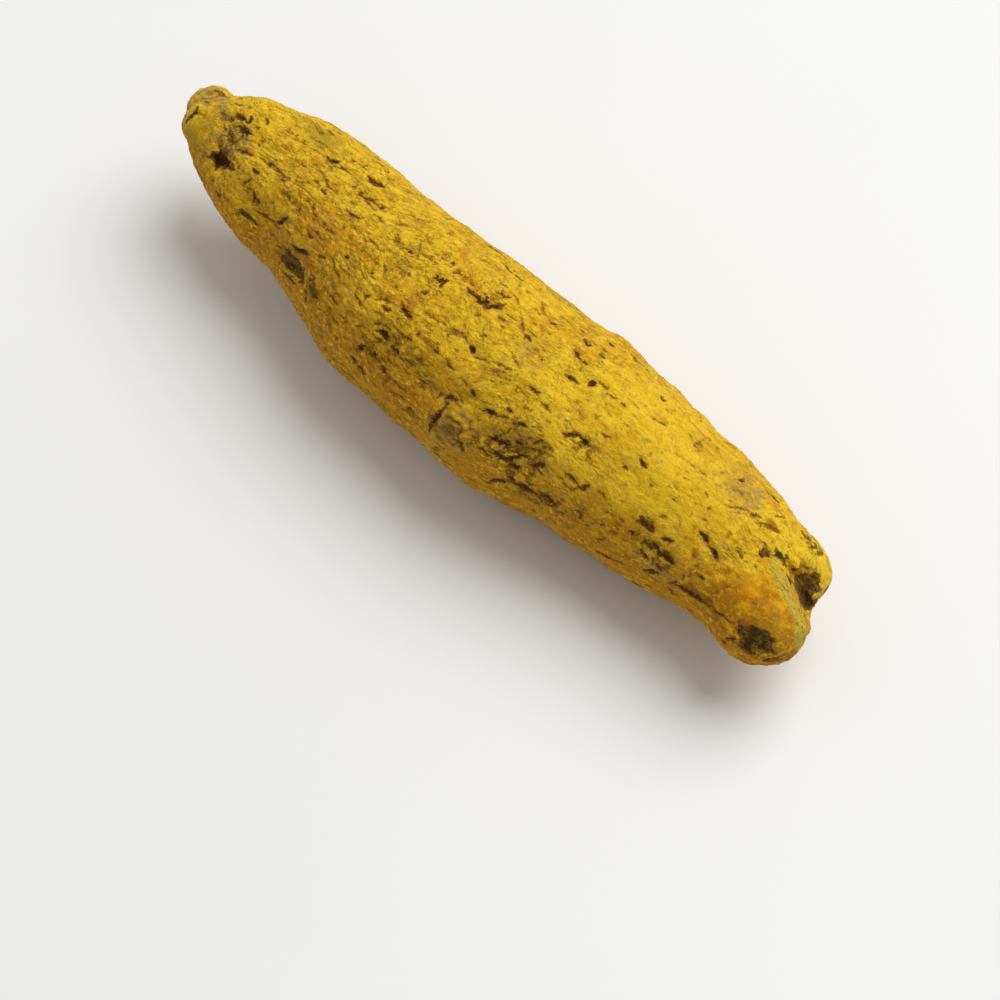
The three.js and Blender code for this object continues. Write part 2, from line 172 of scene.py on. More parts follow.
# Marks of this finger, each at its place on the solid: (where, reach along, reach across, strength), in mm
skinMarks = {
    "scar": [  # grey-brown cork with no powder on it
        ((-21.2, -1.6, 9.0), 0.5, 0.5, 1.0),  # pit beside the tip
        ((-12.04, -3.9, 8.4), 1.3, 0.6, 0.85),  # eye
        ((-17.23, -3.2, 8.5), 0.75, 0.35, 0.75),
        ((-19.54, -3.3, 8.2), 0.4, 0.2, 0.6),
        ((-9.9, -4.6, 8.8), 0.6, 0.4, 0.55),
        ((-24.9, 2.3, 8.8), 0.45, 0.4, 0.55),
        ((15.67, -3.0, 8.8), 0.5, 0.3, 0.7),
        ((16.66, -3.5, 7.9), 0.8, 0.25, 0.55),
        ((24.52, -3.5, 6.7), 1.2, 0.85, 1.0),  # hole on the front stub
        ((24.2, 1.0, 7.7), 0.5, 0.6, 0.9),
        ((24.8, 1.1, 6.4), 0.8, 1.0, 1.0),  # bottom of the cleft
        ((22.16, 0.3, 8.95), 0.5, 0.4, 0.65),
        ((22.87, 0.9, 8.35), 0.7, 0.5, 0.75),
        ((21.16, -0.8, 9.25), 0.5, 0.3, 0.45),
        ((23.87, 3.4, 7.5), 0.7, 0.45, 0.45),
    ],
    "umber": [  # brown in the crevices, with yellow lips
        ((-9.93, -4.6, 8.8), 1.0, 0.9, 0.5),
        ((-5.74, -5.0, 8.6), 3.0, 1.4, 0.15),
        ((-21.4, -0.2, 10.3), 1.0, 0.6, 0.2),
        ((7.0, -4.4, 8.8), 1.9, 1.2, 0.55),  # patch of layered cracks
        ((10.37, -2.3, 10.7), 1.2, 0.6, 0.25),
        ((9.07, -5.1, 7.3), 2.2, 0.6, 0.8),  # gouges low on the flank
        ((16.77, -3.7, 7.7), 1.8, 0.7, 0.45),
        ((2.77, -5.9, 8.3), 1.3, 1.3, 0.35),  # knob
        ((-4.83, 4.6, 2.9), 1.5, 1.4, 0.8),  # bud scars on the far side
        ((12.17, 5.2, 3.9), 1.4, 1.3, 0.8),
        ((-15.73, -3.0, 3.0), 1.4, 1.3, 0.8),
    ],
    "rubbed": [  # buff and mauve-grey, where the powder has come off
        ((-25.13, 1.7, 9.3), 1.5, 1.2, 0.9),  # top of the tip
        ((-23.4, 0.9, 10.1), 0.5, 0.5, 0.7),
        ((-20.9, -0.5, 10.4), 1.7, 1.1, 0.7),
        ((2.87, -5.9, 8.3), 1.5, 1.5, 0.75),  # knob
        ((7.06, -4.3, 8.9), 2.8, 2.0, 0.3),
        ((18.8, 2.2, 9.7), 1.7, 1.1, 0.6),  # tan patch near the back stub
        ((19.4, 2.9, 9.3), 0.6, 0.5, 0.8),
        ((4.26, -0.6, 11.7), 1.8, 0.9, 0.4),
        ((-11.23, -1.5, 11.0), 1.3, 0.8, 0.35),
        ((-22.73, -2.0, 8.6), 1.4, 1.2, 0.35),
        ((18.77, -4.1, 6.9), 3.0, 0.6, 0.6),  # mauve flank below the gouges
    ],
    "olive": [
        ((-16.54, 3.1, 10.9), 1.7, 1.1, 0.8),
        ((-23.63, -0.9, 9.3), 1.3, 1.2, 0.5),  # cheek under the tip
        ((25.2, -2.6, 7.4), 1.2, 1.0, 0.3),  # front stub
        ((-8.23, -3.9, 9.8), 2.0, 1.0, 0.25),
        ((5.76, -4.0, 9.6), 3.0, 1.4, 0.2),
        ((-1.23, -4.5, 9.6), 2.4, 1.0, 0.2),
    ],
    "stained": [  # deep orange, bare flesh showing through
        ((21.4, 2.0, 9.0), 0.8, 0.2, 0.8),
        ((25.96, -3.5, 5.8), 0.8, 0.3, 1.0),
    ],
    # orange tones; the two strongest, on the front lobe, are painted shade where the lobe turns away from
    # the light
    "warmAndShade": [
        ((22.4, 3.2, 8.0), 1.4, 0.6, 0.3),
        ((18.27, 3.6, 8.8), 4.0, 1.2, 0.2),
        ((-10.8, -1.6, 10.9), 3.0, 1.6, 0.45),
        ((-15.4, -3.4, 7.8), 2.6, 1.0, 0.3),
        ((24.0, -2.7, 7.0), 3.2, 2.4, 1.0),
        ((25.6, -3.0, 5.2), 2.4, 2.2, 1.0),
        ((-4.0, -5.0, 8.4), 7.0, 1.6, 0.4),
    ],
    "calm": [  # where the relief is lower
        ((23.96, -2.2, 7.8), 2.8, 2.6, 0.9),
        ((24.77, 2.9, 6.4), 1.9, 1.8, 0.6),
        ((-23.84, -1.0, 9.0), 1.3, 1.3, 0.8),
        ((-25.63, 1.4, 8.6), 1.4, 1.6, 0.7),
        ((23.77, 0.8, 7.8), 1.6, 1.2, 0.8),
        ((14.27, 0.0, 10.0), 8.5, 5.0, 0.8),
        ((12.0, -3.4, 9.4), 3.4, 1.6, 0.6),
    ],
    "fresh": [  # thickest powder; a few of these are painted light instead, brightening places the light leaves too dim
        ((14.77, 1.5, 9.5), 8.5, 5.0, 0.4),
        ((24.96, 3.0, 7.0), 2.6, 2.2, 0.9),
        ((-22.23, 2.4, 9.8), 3.6, 2.2, 0.8),
        ((-25.2, 0.4, 9.2), 1.8, 1.6, 1.0),
        ((-9.23, 0.5, 11.2), 5.0, 2.2, 0.5),
        ((-4.5, -4.2, 9.6), 2.6, 1.6, 0.45),
        # painted light: brightens the near flank behind the tip
        ((-17.5, -2.0, 9.6), 3.0, 2.0, 0.9),
        ((-5.0, -4.8, 9.4), 3.4, 1.4, 0.9),
        ((7.5, 0.0, 11.4), 3.0, 2.0, 0.6),
        ((-14.6, -2.7, 9.3), 2.4, 1.7, 1.0),
        ((22.9, 2.6, 8.2), 2.4, 1.7, 1.0),
        # painted light: brightens the top near the snapped end
        ((20.4, 2.0, 9.2), 2.4, 1.5, 0.8),
        ((10.5, -3.6, 9.8), 3.0, 1.6, 0.6),
    ],
    "cracked": [  # where the cracks lie closer
        ((7.06, -4.3, 8.9), 3.0, 2.2, 1.0),
        ((9.07, -5.1, 7.3), 3.4, 1.1, 0.8),
        ((17.27, -3.5, 7.9), 2.4, 1.1, 0.8),
        ((-20.63, -0.3, 10.3), 2.2, 1.8, 0.9),
        ((-0.23, 0.7, 12.0), 3.0, 1.2, 0.7),
        ((-12.0, -1.5, 10.2), 10.0, 4.2, 0.65),
        ((-6.24, -0.3, 11.9), 3.0, 1.4, 0.7),
        ((-3.23, -4.7, 9.4), 3.4, 2.0, 0.9),
        ((-12.73, 2.6, 11.1), 3.4, 1.2, 0.6),
        ((10.37, -2.3, 10.7), 2.0, 1.2, 0.8),
    ],
}

# Torn cracks too fine for the solid, each measured on this finger: (half width in mm, depth as a share of
# the deepest, points that it runs through)
measuredCracks = [
    (0.13, 1, [(-24.6, -1.1, 9.1), (-24.6, -0.8, 9.5), (-24.5, -0.4, 9.7), (-24.6, 0.1, 9.9)]),
    (0.17, 1, [(-22, -1.9, 8.7), (-21.5, -1.7, 9.2), (-21.2, -1.5, 8.8), (-20.9, -1.4, 8.6),
               (-19.9, -1.7, 10)]),
    (0.14, 1, [(-21.5, -1.1, 9.8), (-21.2, -1.5, 9.6), (-21.2, -1.5, 8.8), (-20, -1.9, 9.6),
               (-19.3, -2, 9.9)]),
    (0.14, 0.9, [(-21.7, -1.6, 9.3), (-21.3, -1.6, 9), (-21.1, -1.7, 8.7), (-20.9, -2.3, 8.8)]),
    (0.08, 0.8, [(-21.5, -2.2, 8.6), (-20.9, -2.4, 8.7), (-20.2, -2.3, 9.1)]),
    (0.18, 1, [(-21.9, 0.8, 10.6), (-21.4, 0.8, 10.8), (-20.9, 0.8, 10.9)]),
    (0.11, 0.9, [(-20.9, 0.6, 10.8), (-20.7, 0.8, 11), (-20.8, 1.3, 11)]),
    (0.07, 0.7, [(-20, 1.6, 11.3), (-19.8, 1.5, 11.3), (-19.4, 1.3, 11.4)]),
    (0.15, 1, [(-21.2, 0.3, 10.6), (-20.9, 0.3, 10.7), (-20.3, 0.2, 10.9), (-20.7, 0.1, 10.7),
               (-20.2, -0.2, 10.7)]),
    (0.07, 0.6, [(-22.2, 0, 10.2), (-22, -0.1, 10.2), (-21.7, -0.3, 10.2)]),
    (0.08, 0.8, [(-21.5, -1, 9.8), (-21.2, -1.4, 9.7)]),
    (0.11, 0.8, [(-20.2, -1, 10.4), (-19.5, -0.9, 10.7), (-18.6, -0.8, 10.9)]),
    (0.13, 1, [(-18.2, -1.4, 10.7), (-17.9, -1.5, 10.7), (-17.5, -1.5, 10.7)]),
    (0.08, 0.8, [(-18.3, -2.3, 9.7), (-18, -2.1, 10.1), (-17.8, -1.8, 10.4)]),
    (0.07, 0.7, [(-17.5, -0.8, 11), (-17.3, -0.5, 11.1)]),
    (0.08, 0.8, [(-20.1, -3, 8.2), (-19.5, -3.3, 8)]),
    (0.06, 0.6, [(-23, 1.5, 10.3), (-22.3, 1.5, 10.5), (-21.7, 1.7, 10.8)]),
    (0.07, 0.7, [(-21.3, -0.6, 10.1), (-20.6, -0.7, 10.4), (-20.4, -0.5, 10.6)]),
    (0.14, 1, [(-15.2, 2.1, 11.2), (-14.8, 2.1, 11.2), (-14.2, 2.5, 11.1)]),
    (0.14, 1, [(-12.3, 2.8, 11.1), (-11.8, 2.8, 11.1), (-11.5, 3, 11), (-10.8, 3, 11)]),
    (0.08, 0.7, [(-14.2, 0.8, 11.4), (-13.7, 0.7, 11.4), (-13.2, 0.4, 11.4), (-12.3, 0.4, 11.4)]),
    (0.13, 0.9, [(-13.5, 0, 11.4), (-12.9, -0.1, 11.5)]),
    (0.08, 0.7, [(-16.2, -1, 11), (-15.6, -0.9, 11)]),
    (0.08, 0.8, [(-17.3, -2.2, 10), (-17.1, -2.3, 9.1)]),
    (0.11, 0.9, [(-15, -2.7, 9.1), (-14.5, -2.5, 9.5), (-14.1, -2.2, 10.3)]),
    (0.07, 0.7, [(-13.3, -0.9, 11.3), (-12.8, -1.4, 11.2), (-12.2, -1.7, 11.1)]),
    (0.07, 0.8, [(-11.5, -1.9, 11.1), (-11.1, -1.8, 11.2), (-10.4, -1.7, 11.3)]),
    (0.11, 0.9, [(-11.3, -0.1, 11.5), (-10.7, -0.1, 11.5), (-10, 0, 11.6)]),
    (0.06, 0.6, [(-11.6, 0.6, 11.4), (-10.9, 0.5, 11.5)]),
    (0.07, 0.7, [(-9.8, 0.7, 11.6), (-9.3, 0.8, 11.6), (-8.7, 0.6, 11.7)]),
    (0.07, 0.7, [(-12.3, 1.5, 11.4), (-12, 1.7, 11.3)]),
    (0.07, 0.7, [(-13.1, 3.1, 11), (-12.9, 3.6, 10.8)]),
    (0.14, 1, [(-13.1, -3.2, 9.4), (-12.5, -3.3, 9.3), (-11.2, -3.4, 10.1)]),
    (0.08, 0.9, [(-10.7, -3.2, 10.4), (-10, -3.1, 10.6)]),
    (0.08, 0.9, [(-12.4, -2.5, 10.6), (-11.9, -2.6, 10.6), (-11.6, -2.6, 10.7)]),
    (0.11, 0.9, [(-9.1, -2.5, 11.2), (-8.7, -2.4, 11.2)]),
    (0.13, 1, [(-13.1, -4.2, 7.4), (-12.4, -4.4, 7.4), (-11.5, -4.6, 7.8)]),
    (0.17, 1, [(-3.7, -0.1, 12.1), (-3.2, -0.3, 12.1), (-2.9, -0.1, 12.1), (-2.8, -0.7, 12)]),
    (0.08, 0.8, [(-3.6, -1.5, 11.7), (-3.3, -1.4, 11.8), (-3.2, -1.1, 11.9)]),
    (0.13, 1, [(-1.6, 0.5, 12.1), (-1.1, 0.3, 12.1), (-0.8, 0.4, 12.1), (-0.4, 0.4, 12.2)]),
    (0.08, 0.8, [(-6.2, -3.8, 10.8), (-6.2, -3.5, 10.9), (-5.9, -3.3, 10.9)]),
    (0.11, 0.9, [(-5, -3.4, 11), (-4.6, -3.5, 11), (-4.2, -3.3, 11.1)]),
    (0.14, 1, [(-4.1, -2.6, 11.4), (-3.7, -2.9, 11.3), (-3.1, -3, 11.3), (-2.7, -3.1, 11.2)]),
    (0.08, 0.9, [(-2.1, -3.5, 11), (-1.8, -3.4, 11)]),
    (0.17, 1, [(-4.5, -4.6, 10), (-4.1, -4.5, 10.2), (-3.6, -4.6, 10.1), (-3.3, -4.5, 9.9)]),
    (0.14, 1, [(-3.2, -4.6, 9.9), (-2.8, -4.7, 9.9), (-2.3, -4.7, 9.8)]),
    (0.07, 0.7, [(-2, -4.7, 9.8), (-1.6, -4.7, 9.8), (-1.1, -4.7, 9.8)]),
    (0.13, 1, [(-5.2, -5.4, 8.5), (-4.7, -5.4, 8.5)]),
    (0.14, 1, [(-4.1, -5.3, 9), (-3.7, -5.5, 8.8)]),
    (0.13, 0.9, [(-5.6, -5.8, 7.5), (-5.1, -5.8, 7.1)]),
    (0.15, 1, [(-5, -5.8, 7), (-4.7, -5.8, 6.9), (-4.1, -5.9, 6.8)]),
    (0.11, 0.9, [(-3.2, -5.6, 8.6), (-2.8, -5.7, 8.4)]),
    (0.11, 0.8, [(-5.3, -5.9, 5), (-4.7, -5.9, 4.6)]),
    (0.13, 1, [(1.2, -2.2, 11.6), (1.6, -2.4, 11.4)]),
    (0.07, 0.8, [(-0.5, -2.6, 11.5), (-0.3, -2.4, 11.5)]),
    (0.07, 0.9, [(-2.2, 3.9, 10.5), (-1.7, 3.9, 10.5), (-1, 3.7, 10.8), (-0.5, 3.8, 10.8),
                 (0.2, 3.7, 10.8)]),
    (0.20, 1, [(-1, 0.4, 12.1), (-0.7, 0.4, 12.2), (-0.3, 0.3, 12.2), (-0.1, 0.6, 12.2),
               (0.2, 0, 12.2)]),
    (0.14, 1, [(0.2, 0, 12.2), (0.3, 0.4, 12.1), (0.4, 0.7, 12.1), (1, 0.8, 12.1)]),
    (0.11, 0.8, [(-0.2, 1.4, 12.1), (0.1, 1.7, 12), (0.4, 1.6, 12), (0.7, 2, 11.8)]),
    (0.08, 0.7, [(1.1, 0.2, 12.2), (1.4, 0.2, 12.2), (1.8, 0.3, 12.2)]),
    (0.07, 0.8, [(3.4, 2.4, 11.6), (3.7, 2.3, 11.6), (3.9, 2.6, 11.4)]),
    (0.11, 0.8, [(3.2, 0.3, 12.2), (3.6, 0.3, 12.2), (3.9, 0.2, 12.1)]),
    (0.14, 1, [(1.1, -2.2, 11.6), (1.4, -2.3, 11.5), (1.7, -2.4, 11.5)]),
    (0.06, 0.6, [(-0.7, -2.1, 11.6), (-0.2, -2, 11.7), (0.4, -2, 11.7), (1.2, -2.2, 11.6)]),
    (0.06, 0.6, [(3.7, -2.1, 11.8), (4, -2, 11.8), (4.3, -1.9, 11.9)]),
    (0.13, 0.9, [(5.9, 1.7, 11.8), (6.1, 1.7, 11.8), (6.5, 1.6, 11.7)]),
    (0.21, 1, [(7.9, 0.8, 11.5), (8.1, 0.8, 11.5), (8.3, 1.1, 11.5)]),
    (0.11, 0.9, [(11.3, 3.4, 10.5), (11.6, 3.4, 10.4), (11.8, 3.5, 10.3)]),
    (0.07, 0.8, [(10.5, -1.1, 11), (10.9, -1.1, 11), (11.4, -0.9, 10.9)]),
    (0.07, 0.7, [(10.2, 1.1, 11.3), (10.7, 1, 11.3)]),
    (0.06, 0.6, [(9.1, 0.9, 11.4), (9.5, 1, 11.4), (9.9, 1, 11.4)]),
    (0.06, 0.6, [(11.9, 1.7, 10.9), (12.5, 1.9, 10.7), (13.1, 2.1, 10.6)]),
    (0.11, 0.9, [(13.4, -0.7, 10.6), (13.7, -0.9, 10.7), (14.1, -0.9, 10.6)]),
    (0.08, 0.9, [(12.8, -1.7, 10.4), (13.3, -1.6, 10.4)]),
    (0.15, 1, [(9.8, -2.1, 10.8), (10.1, -2.1, 10.8), (10.4, -2, 10.3)]),
    (0.13, 0.9, [(11.5, -3.9, 8.9), (11.7, -3.7, 9), (11.9, -3.4, 9.4)]),
    (0.06, 0.7, [(16.2, -2.3, 9.4), (16.7, -2, 9.5)]),
    (0.14, 1, [(1.6, -6.2, 7.1), (1.6, -6.1, 7.8), (1.7, -5.9, 8.4), (1.9, -5.5, 8.9),
               (1.9, -4.9, 9.1)]),
    (0.11, 0.9, [(1.6, -5, 9.3), (1.7, -4.6, 9.3), (2.2, -4.7, 9.7), (2.6, -4.7, 9.8)]),
    (0.08, 0.8, [(1.1, -5.1, 9), (1.2, -4.9, 9.3), (1.5, -4.7, 9.5)]),
    (0.11, 0.8, [(3.6, -6, 8.3), (4, -6.1, 8), (4.1, -6.1, 7.2)]),
    (0.15, 1, [(4, -4.5, 10), (4.2, -4.1, 9.9), (4.8, -4.2, 10.4), (5.4, -4.2, 10.5)]),
    (0.08, 0.9, [(5.3, -3.7, 10.8), (5.5, -3.6, 10.9), (6, -3.6, 10.9)]),
    (0.11, 0.9, [(2.8, -3.9, 10.6), (3.1, -4, 10.5), (3.3, -4.1, 10.4)]),
    (0.07, 0.8, [(5.9, -2, 11.7), (6.2, -1.9, 11.6), (6.5, -1.8, 11.6)]),
    (0.07, 0.8, [(6.7, -2.1, 11.2), (7.1, -2.1, 11.1), (7.8, -2.2, 11.2)]),
    (0.11, 1, [(5.3, -5, 9.2), (5.7, -4.9, 9.2), (6.1, -4.8, 9.2), (6.5, -4.7, 9.2),
               (6.7, -4.5, 9.4)]),
    (0.11, 1, [(6.8, -4.3, 9.7), (7.1, -4.3, 9.5), (7.4, -4.2, 9.7)]),
    (0.08, 0.9, [(7.7, -3.9, 10), (8, -3.8, 10.1), (8.3, -3.5, 10.5)]),
    (0.14, 1, [(5.8, -5.2, 8.8), (6.1, -5.2, 8.5), (6.6, -5.2, 8.4), (7, -5, 8.5),
               (7.1, -4.7, 8.8)]),
    (0.11, 1, [(7, -5, 8.5), (7.4, -4.6, 8.9), (8, -4.3, 9.1)]),
    (0.18, 1, [(7, -5.2, 8.3), (7.3, -5.1, 8.3), (7.6, -5.1, 8.3), (7.7, -4.9, 8.5)]),
    (0.13, 0.9, [(8.3, -4.6, 8.7), (8.7, -4.4, 9.1), (9.2, -4.3, 9.3)]),
    (0.14, 1, [(7.2, -5.5, 7.5), (7.5, -5.5, 7.4), (7.8, -5.4, 7.7)]),
    (0.11, 0.9, [(6.2, -4, 10.5), (6.6, -3.8, 10.7), (7.1, -3.6, 10.7)]),
    (0.11, 0.9, [(5.9, -5.9, 5.5), (6.3, -5.7, 6.1), (6.9, -5.5, 6.5), (7.5, -5.5, 7)]),
    (0.18, 1, [(7.7, -5.5, 7.3), (8.2, -5.4, 7.3), (8.5, -5.3, 7.4), (9, -5.2, 7.2),
               (9.4, -5.1, 7.2)]),
    (0.14, 1, [(9.4, -5.1, 7.2), (9.9, -5, 7.4), (10.2, -4.9, 7.2), (10.7, -4.8, 7)]),
    (0.07, 0.8, [(8.9, -2.7, 10.8), (9.2, -2.6, 10.8), (9.5, -2.3, 10.8)]),
    (0.15, 1, [(19.6, -1.5, 8.7), (19.9, -1.6, 8.8), (20.4, -1.9, 9), (20.7, -1.9, 8.8)]),
    (0.06, 0.8, [(22.3, -0.7, 8.9), (22.5, -0.7, 8.9)]),
    (0.07, 0.9, [(23.5, 2.7, 8), (23.8, 3.4, 7.5)]),
    (0.08, 0.8, [(21.6, -3.6, 6.5), (22.6, -3.8, 7.3), (23.5, -3.7, 7.3)]),
    (0.13, 1, [(25.7, -3.8, 5.7), (26, -3.5, 5.8), (26.4, -3, 6)]),
    (0.08, 0.9, [(23.4, -4.4, 6.3), (23.8, -4.3, 6.6), (24.1, -4.2, 6.8)]),
    (0.07, 0.7, [(10.3, -4.2, 8.9), (11.1, -4.1, 8.7), (11.9, -3.5, 9.3)]),
    (0.13, 0.8, [(11.7, -4.5, 7.5), (12.1, -4.4, 7.5), (12.2, -4.6, 7)]),
    (0.20, 0.9, [(15.4, -3.1, 8.8), (15.9, -3, 8.8), (16.6, -3, 8.7)]),
    (0.13, 0.9, [(15.2, -3.6, 7.9), (15.5, -3.5, 8)]),
    (0.14, 1, [(17, -3, 8.6), (17.6, -2.9, 8.8), (17.9, -2.7, 8.9)]),
    (0.17, 1, [(16.7, -3.3, 8.2), (17.3, -3.5, 8), (17.9, -3.4, 7.9), (18.6, -3.4, 7.9)]),
    (0.11, 0.8, [(16.2, -3.8, 7.5), (16.5, -3.9, 7.2), (17, -3.9, 7.2)]),
    (0.14, 1, [(16.9, -4.3, 6.2), (17.5, -4.1, 6.7), (18, -4, 6.8)]),
    (0.08, 0.8, [(17.5, -3.9, 7.3), (18.1, -3.9, 7.1)]),
    (0.08, 0.7, [(18.3, -4, 6.5), (18.9, -3.8, 6.6), (19.5, -3.6, 6.5), (20.1, -3.6, 6.5),
                 (20.7, -3.5, 6.4), (21.6, -3.6, 6.5)]),
    (0.06, 0.8, [(13.3, -4.7, 5.1), (14.4, -4.6, 5.2), (15.9, -4.4, 5.7)]),
    (0.07, 0.7, [(13.4, -4.3, 7.4), (13.8, -4.1, 7.6)]),
    (0.06, 0.6, [(16.7, -0.1, 10.4), (17, -0.1, 10.3)]),
    (0.06, 0.6, [(14.7, -1.4, 10.2), (15, -1.4, 10.2)]),
    (0.07, 0.7, [(19.8, -3, 8), (20.6, -3, 7.9)]),
    (0.11, 1, [(5.6, 3, 11.3), (6.1, 2.7, 11.4), (6.3, 3, 11.3)]),
    (0.08, 0.9, [(6.5, 4.2, 10.5), (7.1, 4.1, 10.5)]),
    (0.07, 0.8, [(6, 1.6, 11.8), (6.5, 1.5, 11.7), (7, 1.5, 11.6), (7.2, 1.6, 11.5)]),
    (0.08, 0.8, [(6.9, 2.9, 11.2), (7.5, 2.8, 11.1)]),
    (0.11, 0.9, [(6.6, 0.1, 11.7), (7, 0.2, 11.6), (7.7, 0.3, 11.5)]),
    (0.08, 0.8, [(5.6, -2, 11.7), (6.3, -1.9, 11.6)]),
    (0.06, 0.7, [(6.8, -2.1, 11.2), (7.8, -2, 11.3), (8.9, -1.8, 11.1)]),
    (0.11, 0.9, [(8.9, -2.7, 10.8), (9.5, -2.2, 10.8), (10, -1.9, 10.8)]),
    (0.06, 0.6, [(1.3, -1.3, 12), (1.7, -1.2, 12)]),
    (0.14, 1, [(18.6, -1.5, 9.6), (19.1, -1.5, 9.4), (19.4, -1.5, 9)]),
    (0.11, 0.8, [(18.1, 2.5, 9.8), (18.5, 2.8, 9.7)]),
    (0.07, 0.9, [(19.8, 3.6, 8.7), (20.2, 3.7, 8.6), (20.6, 3.6, 8.4)]),
    (0.05, 0.6, [(18.6, 0.4, 10.1), (19.3, 0.9, 9.9), (20.1, 1.6, 9.6)]),
    (0.07, 0.8, [(20.1, 1.3, 9.7), (20.7, 1.8, 9.4)]),
    (0.07, 0.7, [(18.2, -0.4, 10.1), (18.4, -0.1, 10.1)]),
    (0.13, 0.5, [(20.6, 1.1, 9.5), (21.1, 1.6, 9.2), (21.8, 1.9, 8.8), (22, 2.2, 8.7)]),
    (0.06, 0.6, [(18.3, -1, 9.9), (18.7, -0.8, 9.9)]),
    (0.05, 0.6, [(21, 2.5, 9), (21.4, 3, 8.5)]),
    (0.05, 0.5, [(16.2, 1.1, 10.4), (16.9, 1.3, 10.3)]),
    (0.06, 0.6, [(17.4, 0.3, 10.3), (17.8, 0.3, 10.3)]),
]

# Short torn cracks strewn over the rest of the skin. They lie in a few layers, so that those of one layer
# never touch.
crackSizes = {
    "tries": 2600,
    "layers": 3,
    "cellMm": 0.36,  # cracks of one layer keep about this far apart
    "longMm": (0.35, 1.9),
    "halfWidthMm": (0.035, 0.11),
    "turnDeg": 70,  # how far their direction swings from the root's length
    "turnSizeMm": 4.2,
    "looseDeg": 17,
    "jogMm": 0.05,
    "reachMm": 0.36,
    "depth": 1.2,  # of the dent around a crack, in half widths
    "seed": 4,
}

# Ringed bud scars: (centre, radius, ring spacing, height), in mm
budScars = [
    ((-25.43, 1.75, 9.1), 1.15, 0.46, 0.07),  # top of the tip
    ((2.77, -5.9, 8.3), 1.35, 0.6, 0.11),  # knob
    ((-9.93, -4.6, 8.7), 0.95, 0.42, 0.06),
    ((-4.83, 4.6, 2.9), 1.1, 0.4, 0.1),
    ((12.17, 5.2, 3.9), 1.0, 0.4, 0.1),
]
snappedEdge = {
    "line": [(23.1, 0.3, 8.5), (24.1, -0.2, 8.4), (24.9, -0.6, 8.1), (25.8, -0.8, 7.4), (26.4, -1.3, 7.0),
             (26.6, -1.6, 6.2)],
    "halfWidthMm": 0.46,
}
softDomes = [  # (centre, reach, height): small swellings rounder than the solid has them
    ((-23.8, -1.3, 8.9), 1.5, 0.16),
]

# Where the solid's cuts are worn round: (centre, reach, share)
wornPlaces = [
    ((24.37, 0.6, 7.6), 3.3, 1.0),
    ((24.52, -3.4, 6.8), 1.9, 0.9),
    ((-21.13, -1.7, 9.2), 1.2, 0.6),
    ((-12.1, -3.9, 8.4), 1.6, 0.6),
]


def fineCopy(node):
    skin = bpy.data.objects.new("turmericSkin", node.data.copy())
    bpy.context.scene.collection.objects.link(skin)
    skin.data.transform(Matrix.Scale(1 / mm, 4))
    skin.data.materials.clear()
    selectOnly(skin)
    bpy.ops.object.mode_set(mode="EDIT")
    bpy.ops.mesh.select_all(action="SELECT")
    bpy.ops.mesh.remove_doubles(threshold=0.001)
    bpy.ops.object.mode_set(mode="OBJECT")
    applyModifier(skin, "REMESH", mode="VOXEL", voxel_size=skinSizes["voxelMm"])
    applyModifier(skin, "SMOOTH", factor=0.5, iterations=2)
    print("skin meshed:", len(skin.data.polygons), "faces")
    return skin


def readVectors(collection, attribute):
    flat = np.empty(len(collection) * 3, np.float32)
    collection.foreach_get(attribute, flat)
    return flat.reshape(-1, 3).astype(float)


def noiseField(points, sizesMm, shift):
    scaled = points / np.array(sizesMm) + shift
    return np.array([noise.noise(p) for p in scaled.tolist()])


def smoothRamp(values, low, high):
    share = np.clip((values - low) / (high - low), 0, 1)
    return share * share * (3 - 2 * share)


def neighbourAverage(values, edges, rounds):
    # a value for each point, evened out along the edges so many times
    count = np.bincount(edges.ravel(), minlength=len(values))[:, None]
    for _ in range(rounds):
        total = np.zeros_like(values)
        for axis in range(values.shape[1]):
            total[:, axis] += np.bincount(edges[:, 0], values[edges[:, 1], axis], len(values))
            total[:, axis] += np.bincount(edges[:, 1], values[edges[:, 0], axis], len(values))
        values = (values + total / count) / 2
    return values


def markField(points, marks, wander):
    field = np.zeros(len(points))
    for place, along, across, strength in marks:
        away = points - np.array(place)
        distance = np.hypot(away[:, 0] / along, np.hypot(away[:, 1], away[:, 2]) / across)
        field = np.maximum(field, strength * smoothRamp(distance * (1 + 0.9 * wander), 1.35, 0.45))
    return field


def distanceToLine(points, line):
    nearest = np.full(len(points), np.inf)
    for start, end in zip(np.array(line[:-1]), np.array(line[1:])):
        run = end - start
        share = np.clip((points - start) @ run / (run @ run), 0, 1)[:, None]
        nearest = np.minimum(nearest, np.linalg.norm(points - start - share * run, axis=1))
    return nearest


def acrossCrack(points, normals, line):
    # how far each point lies across a crack, positive on its upper side, and at what share of its length
    runs = line[1:] - line[:-1]
    lengths = np.linalg.norm(runs, axis=1)
    nearest = np.full(len(points), np.inf)
    across, share = np.zeros(len(points)), np.zeros(len(points))
    passed = 0.0
    for number, (start, run, length) in enumerate(zip(line, runs, lengths)):
        way = run / length
        lowest = 0 if number else -np.inf
        highest = length if number < len(runs) - 1 else np.inf
        along = np.clip((points - start) @ way, lowest, highest)
        away = points - start - along[:, None] * way
        away -= (away * normals).sum(1)[:, None] * normals
        distance = np.linalg.norm(away, axis=1)
        side = np.where((away * np.cross(normals, way)).sum(1) < 0, -1, 1)
        closer = distance < nearest
        nearest = np.where(closer, distance, nearest)
        across = np.where(closer, side * distance, across)
        share = np.where(closer, (passed + along) / lengths.sum(), share)
        passed += length
    return across, share


